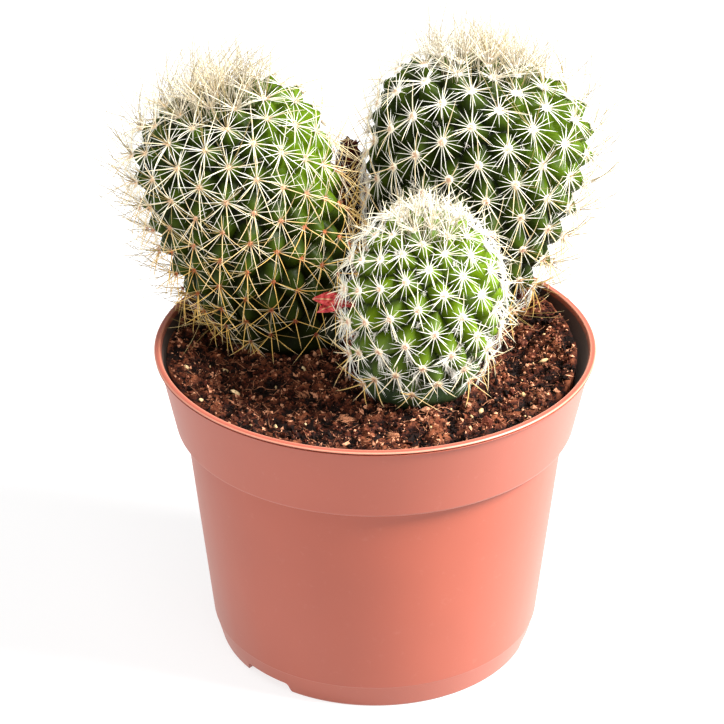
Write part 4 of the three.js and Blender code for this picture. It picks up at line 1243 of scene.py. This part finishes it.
def fibres(look):
    """Short fibres of the peat, matted bits of bark, and thin roots."""
    rng = np.random.default_rng(FIBRE_SEED)
    place, relief = resting(rng, scatter(rng, FIBRES, 1.2), 0.15)
    count = len(place)
    azimuth = rng.random(count) * TURN
    tilt = rng.normal(0.15, 0.35, count)
    way = np.stack([np.cos(azimuth) * np.cos(tilt), np.sin(azimuth) * np.cos(tilt), np.sin(tilt)], -1)
    length = rng.lognormal(0.25, 0.45, count)
    bends = rng.normal(0, 0.3, (count, 3)) * length[:, None]
    points, faces, _ = needles(place, way, length, bends, 0.1, 0.04, 3, 3, 0.5)
    # Random tone, lighter on fibres that lie high: painted light and shade.
    tone = np.clip(rng.random(count) + 0.3 * relief, 0, 1)
    heap = Heap().add_copies(points, faces, tone=tone[:, None])
    for chunk in CHUNKS:
        add_chunk(heap, rng, *chunk)
    paths = [np.array(path, float) for path in LONG_ROOTS]
    for start in scatter(rng, ROOTS, 5):
        turn = rng.random() * TURN + np.cumsum(rng.normal(0, 0.28, 9))
        walk = np.cumsum(np.stack([np.cos(turn), np.sin(turn)], -1) * rng.uniform(0.5, 1.7), 0)
        paths.append(start[:2] + walk)
    for path in paths:
        add_root(heap, rng, path)
    return heap.piece("peat_fibres", look, "peat")


def add_chunk(heap, rng, x, y, way, count=60):
    """A matted bit of bark at x, y, whose fibres run about the given way in degrees."""
    spots = np.array([[x, y]]) + rng.normal(0, 0.7, (count, 2))
    place = np.array([on_peat(a, b, rng.uniform(0.1, 0.7)) for a, b in spots])
    turn = np.radians(way + rng.normal(0, 24, count))
    ways = np.stack([np.cos(turn), np.sin(turn), rng.normal(0, 0.2, count)], -1)
    length = rng.uniform(1.2, 3.0, count)
    bends = rng.normal(0, 0.2, (count, 3))
    points, faces, _ = needles(place - ways, ways, length, bends, 0.14, 0.07, 4, 3)
    heap.add_copies(points, faces, tone=rng.uniform(0.6, 1.2, (count, 1)))


def add_root(heap, rng, path):
    """A bare root that lies on the peat along the path, where it is inside the pot."""
    k = np.linspace(0, len(path) - 1, 5 * len(path))
    x, y = (np.interp(k, np.arange(len(path)), path[:, i]) for i in (0, 1))
    inside = np.hypot(x, y) < 54
    if inside.sum() < 8:
        return
    path = np.array([on_peat(a, b, 0.25) for a, b in zip(x[inside], y[inside])])
    path[:, 2] = np.convolve(np.pad(path[:, 2], 3, "edge"), np.full(7, 1 / 7), "valid") + 0.3
    thick = rng.uniform(0.09, 0.16) * np.sqrt(np.linspace(1, 0.15, len(path)))
    points, faces, _ = blade(path, np.array([0, 0, 1.0]), thick, 1.0, sides=5)
    heap.add(points, faces, tone=rng.uniform(0.5, 1.1))


# Camera, floor and light
def camera():
    data = bpy.data.cameras.new("camera")
    data.sensor_width = SENSOR
    data.lens = SENSOR * FOCAL_PIXELS / IMAGE_SIZE
    data.clip_start, data.clip_end = 0.01, 20
    made = put("camera", data)
    e = math.radians(CAMERA_ELEVATION)
    back = Vector((0, -math.cos(e), math.sin(e)))
    aim = (-back).to_track_quat("-Z", "Y").to_matrix().to_4x4()
    place = Vector(CAMERA_TARGET) * MM + back * CAMERA_DISTANCE * MM
    made.matrix_world = Matrix.Translation(place) @ aim @ Matrix.Rotation(math.radians(CAMERA_ROLL), 4, "Z")
    bpy.context.scene.camera = made


def area_light(name, place, size, power):
    """A round lamp at a place in metres, aimed at the plants."""
    data = bpy.data.lights.new(name, "AREA")
    data.shape = "DISK"
    data.size = size
    data.energy = power
    made = put(name, data)
    made.location = place
    made.rotation_mode = "QUATERNION"
    made.rotation_quaternion = (Vector(LIGHT_AIM) - Vector(place)).to_track_quat("-Z", "Y")


def studio():
    """A white room of even light, three lamps and a paper floor."""
    bpy.context.scene.view_settings.view_transform = "Standard"
    world = bpy.data.worlds.new("studio")
    world.use_nodes = True
    world.node_tree.nodes["Background"].inputs["Color"].default_value = (1, 1, 1, 1)
    world.node_tree.nodes["Background"].inputs["Strength"].default_value = ROOM_LIGHT
    bpy.context.scene.world = world
    for light in LIGHTS:
        area_light(*light)
    look = Look("white_paper", 0.9, Emission_Color=(1, 1, 1, 1), Emission_Strength=FLOOR_GLOW)
    paper = look.finish(look.ramp(look.noise(0.8, 3, 0.6), (0.0, (140, 140, 140)), (1.0, (150, 150, 150))))
    mesh = bpy.data.meshes.new("floor")
    half = FLOOR_SIZE / 2
    corners = [(x * half, y * half, 0) for x, y in ((-1, -1), (1, -1), (1, 1), (-1, 1))]
    mesh.from_pydata(corners, [], [(0, 1, 2, 3)])
    mesh.materials.append(paper)
    put("floor", mesh)


def plants():
    """The three plants, each with its own looks, the dried stem and the flower."""
    # Each skin look takes the painted shade of its valleys, its flank, tip and bloom, the green of its
    # painted light and how much of it, and the painted shade near its foot.
    skins = {
        "skin_bright": skin_look("skin_bright_green", (24, 32, 1), (76, 98, 4), (102, 126, 20),
                                 (100, 118, 78), (104, 137, 6), 0.8, (50, 64, 44)),
        "skin_dark": skin_look("skin_dark_green", (8, 11, 1), (35, 48, 3), (60, 78, 12),
                               (60, 74, 28), (90, 119, 6), 0.75, (22, 25, 11)),
    }
    # The last number of each spine look is how strongly it glows: painted light.
    white = spine_look("spines_white", (214, 196, 168), (224, 222, 212), (228, 227, 220),
                       (176, 108, 52), (206, 178, 118), 0.45)
    golden = spine_look("spines_golden", (214, 184, 138), (224, 218, 198), (226, 218, 192),
                        (142, 50, 12), (202, 164, 88), 0.45)
    tan = spine_look("spines_crown", (154, 140, 112), (168, 160, 143), (178, 172, 159),
                     (140, 116, 80), (162, 148, 118), 0.3)
    hair = spine_look("hairs_long", (124, 102, 58), (140, 124, 80), (152, 138, 96),
                      (116, 82, 34), (136, 110, 56), 0.22)
    pale_wool = wool_look("wool_pale", (244, 238, 226), (238, 224, 200), (220, 180, 134))
    brown_wool = wool_look("wool_browned", (240, 220, 190), (180, 100, 46), (104, 34, 10))
    for plant in PLANTS:
        sites = areoles(plant)
        skin(plant, sites, skins[plant.slot])
        radials(plant, sites, white)
        centrals(plant, sites, golden)
        if plant.hairs:
            long_hairs(plant, sites, hair)
        areole_wool(plant, sites, brown_wool if plant.name == "cactus_left" else pale_wool)
        crown_tuft(plant, tan)
        if plant.wool[0]:
            axil_wool(plant, sites, pale_wool)
    dried_stem(dry_look())
    flower(petal_look())


camera()
studio()
pot()
soil(peat_look("peat_dark", (12, 4, 2), (66, 27, 14), (128, 72, 46)))
crumbs(peat_look("peat_crumbs", (18, 6, 3), (94, 40, 24), (226, 160, 122), 0.46))
fibres(peat_look("peat_fibres", (36, 15, 9), (94, 50, 32), (186, 126, 92)))
pale_grains(peat_look("peat_pale_grains", (196, 160, 112), (222, 190, 140), (240, 220, 180), 0.1))
plants()
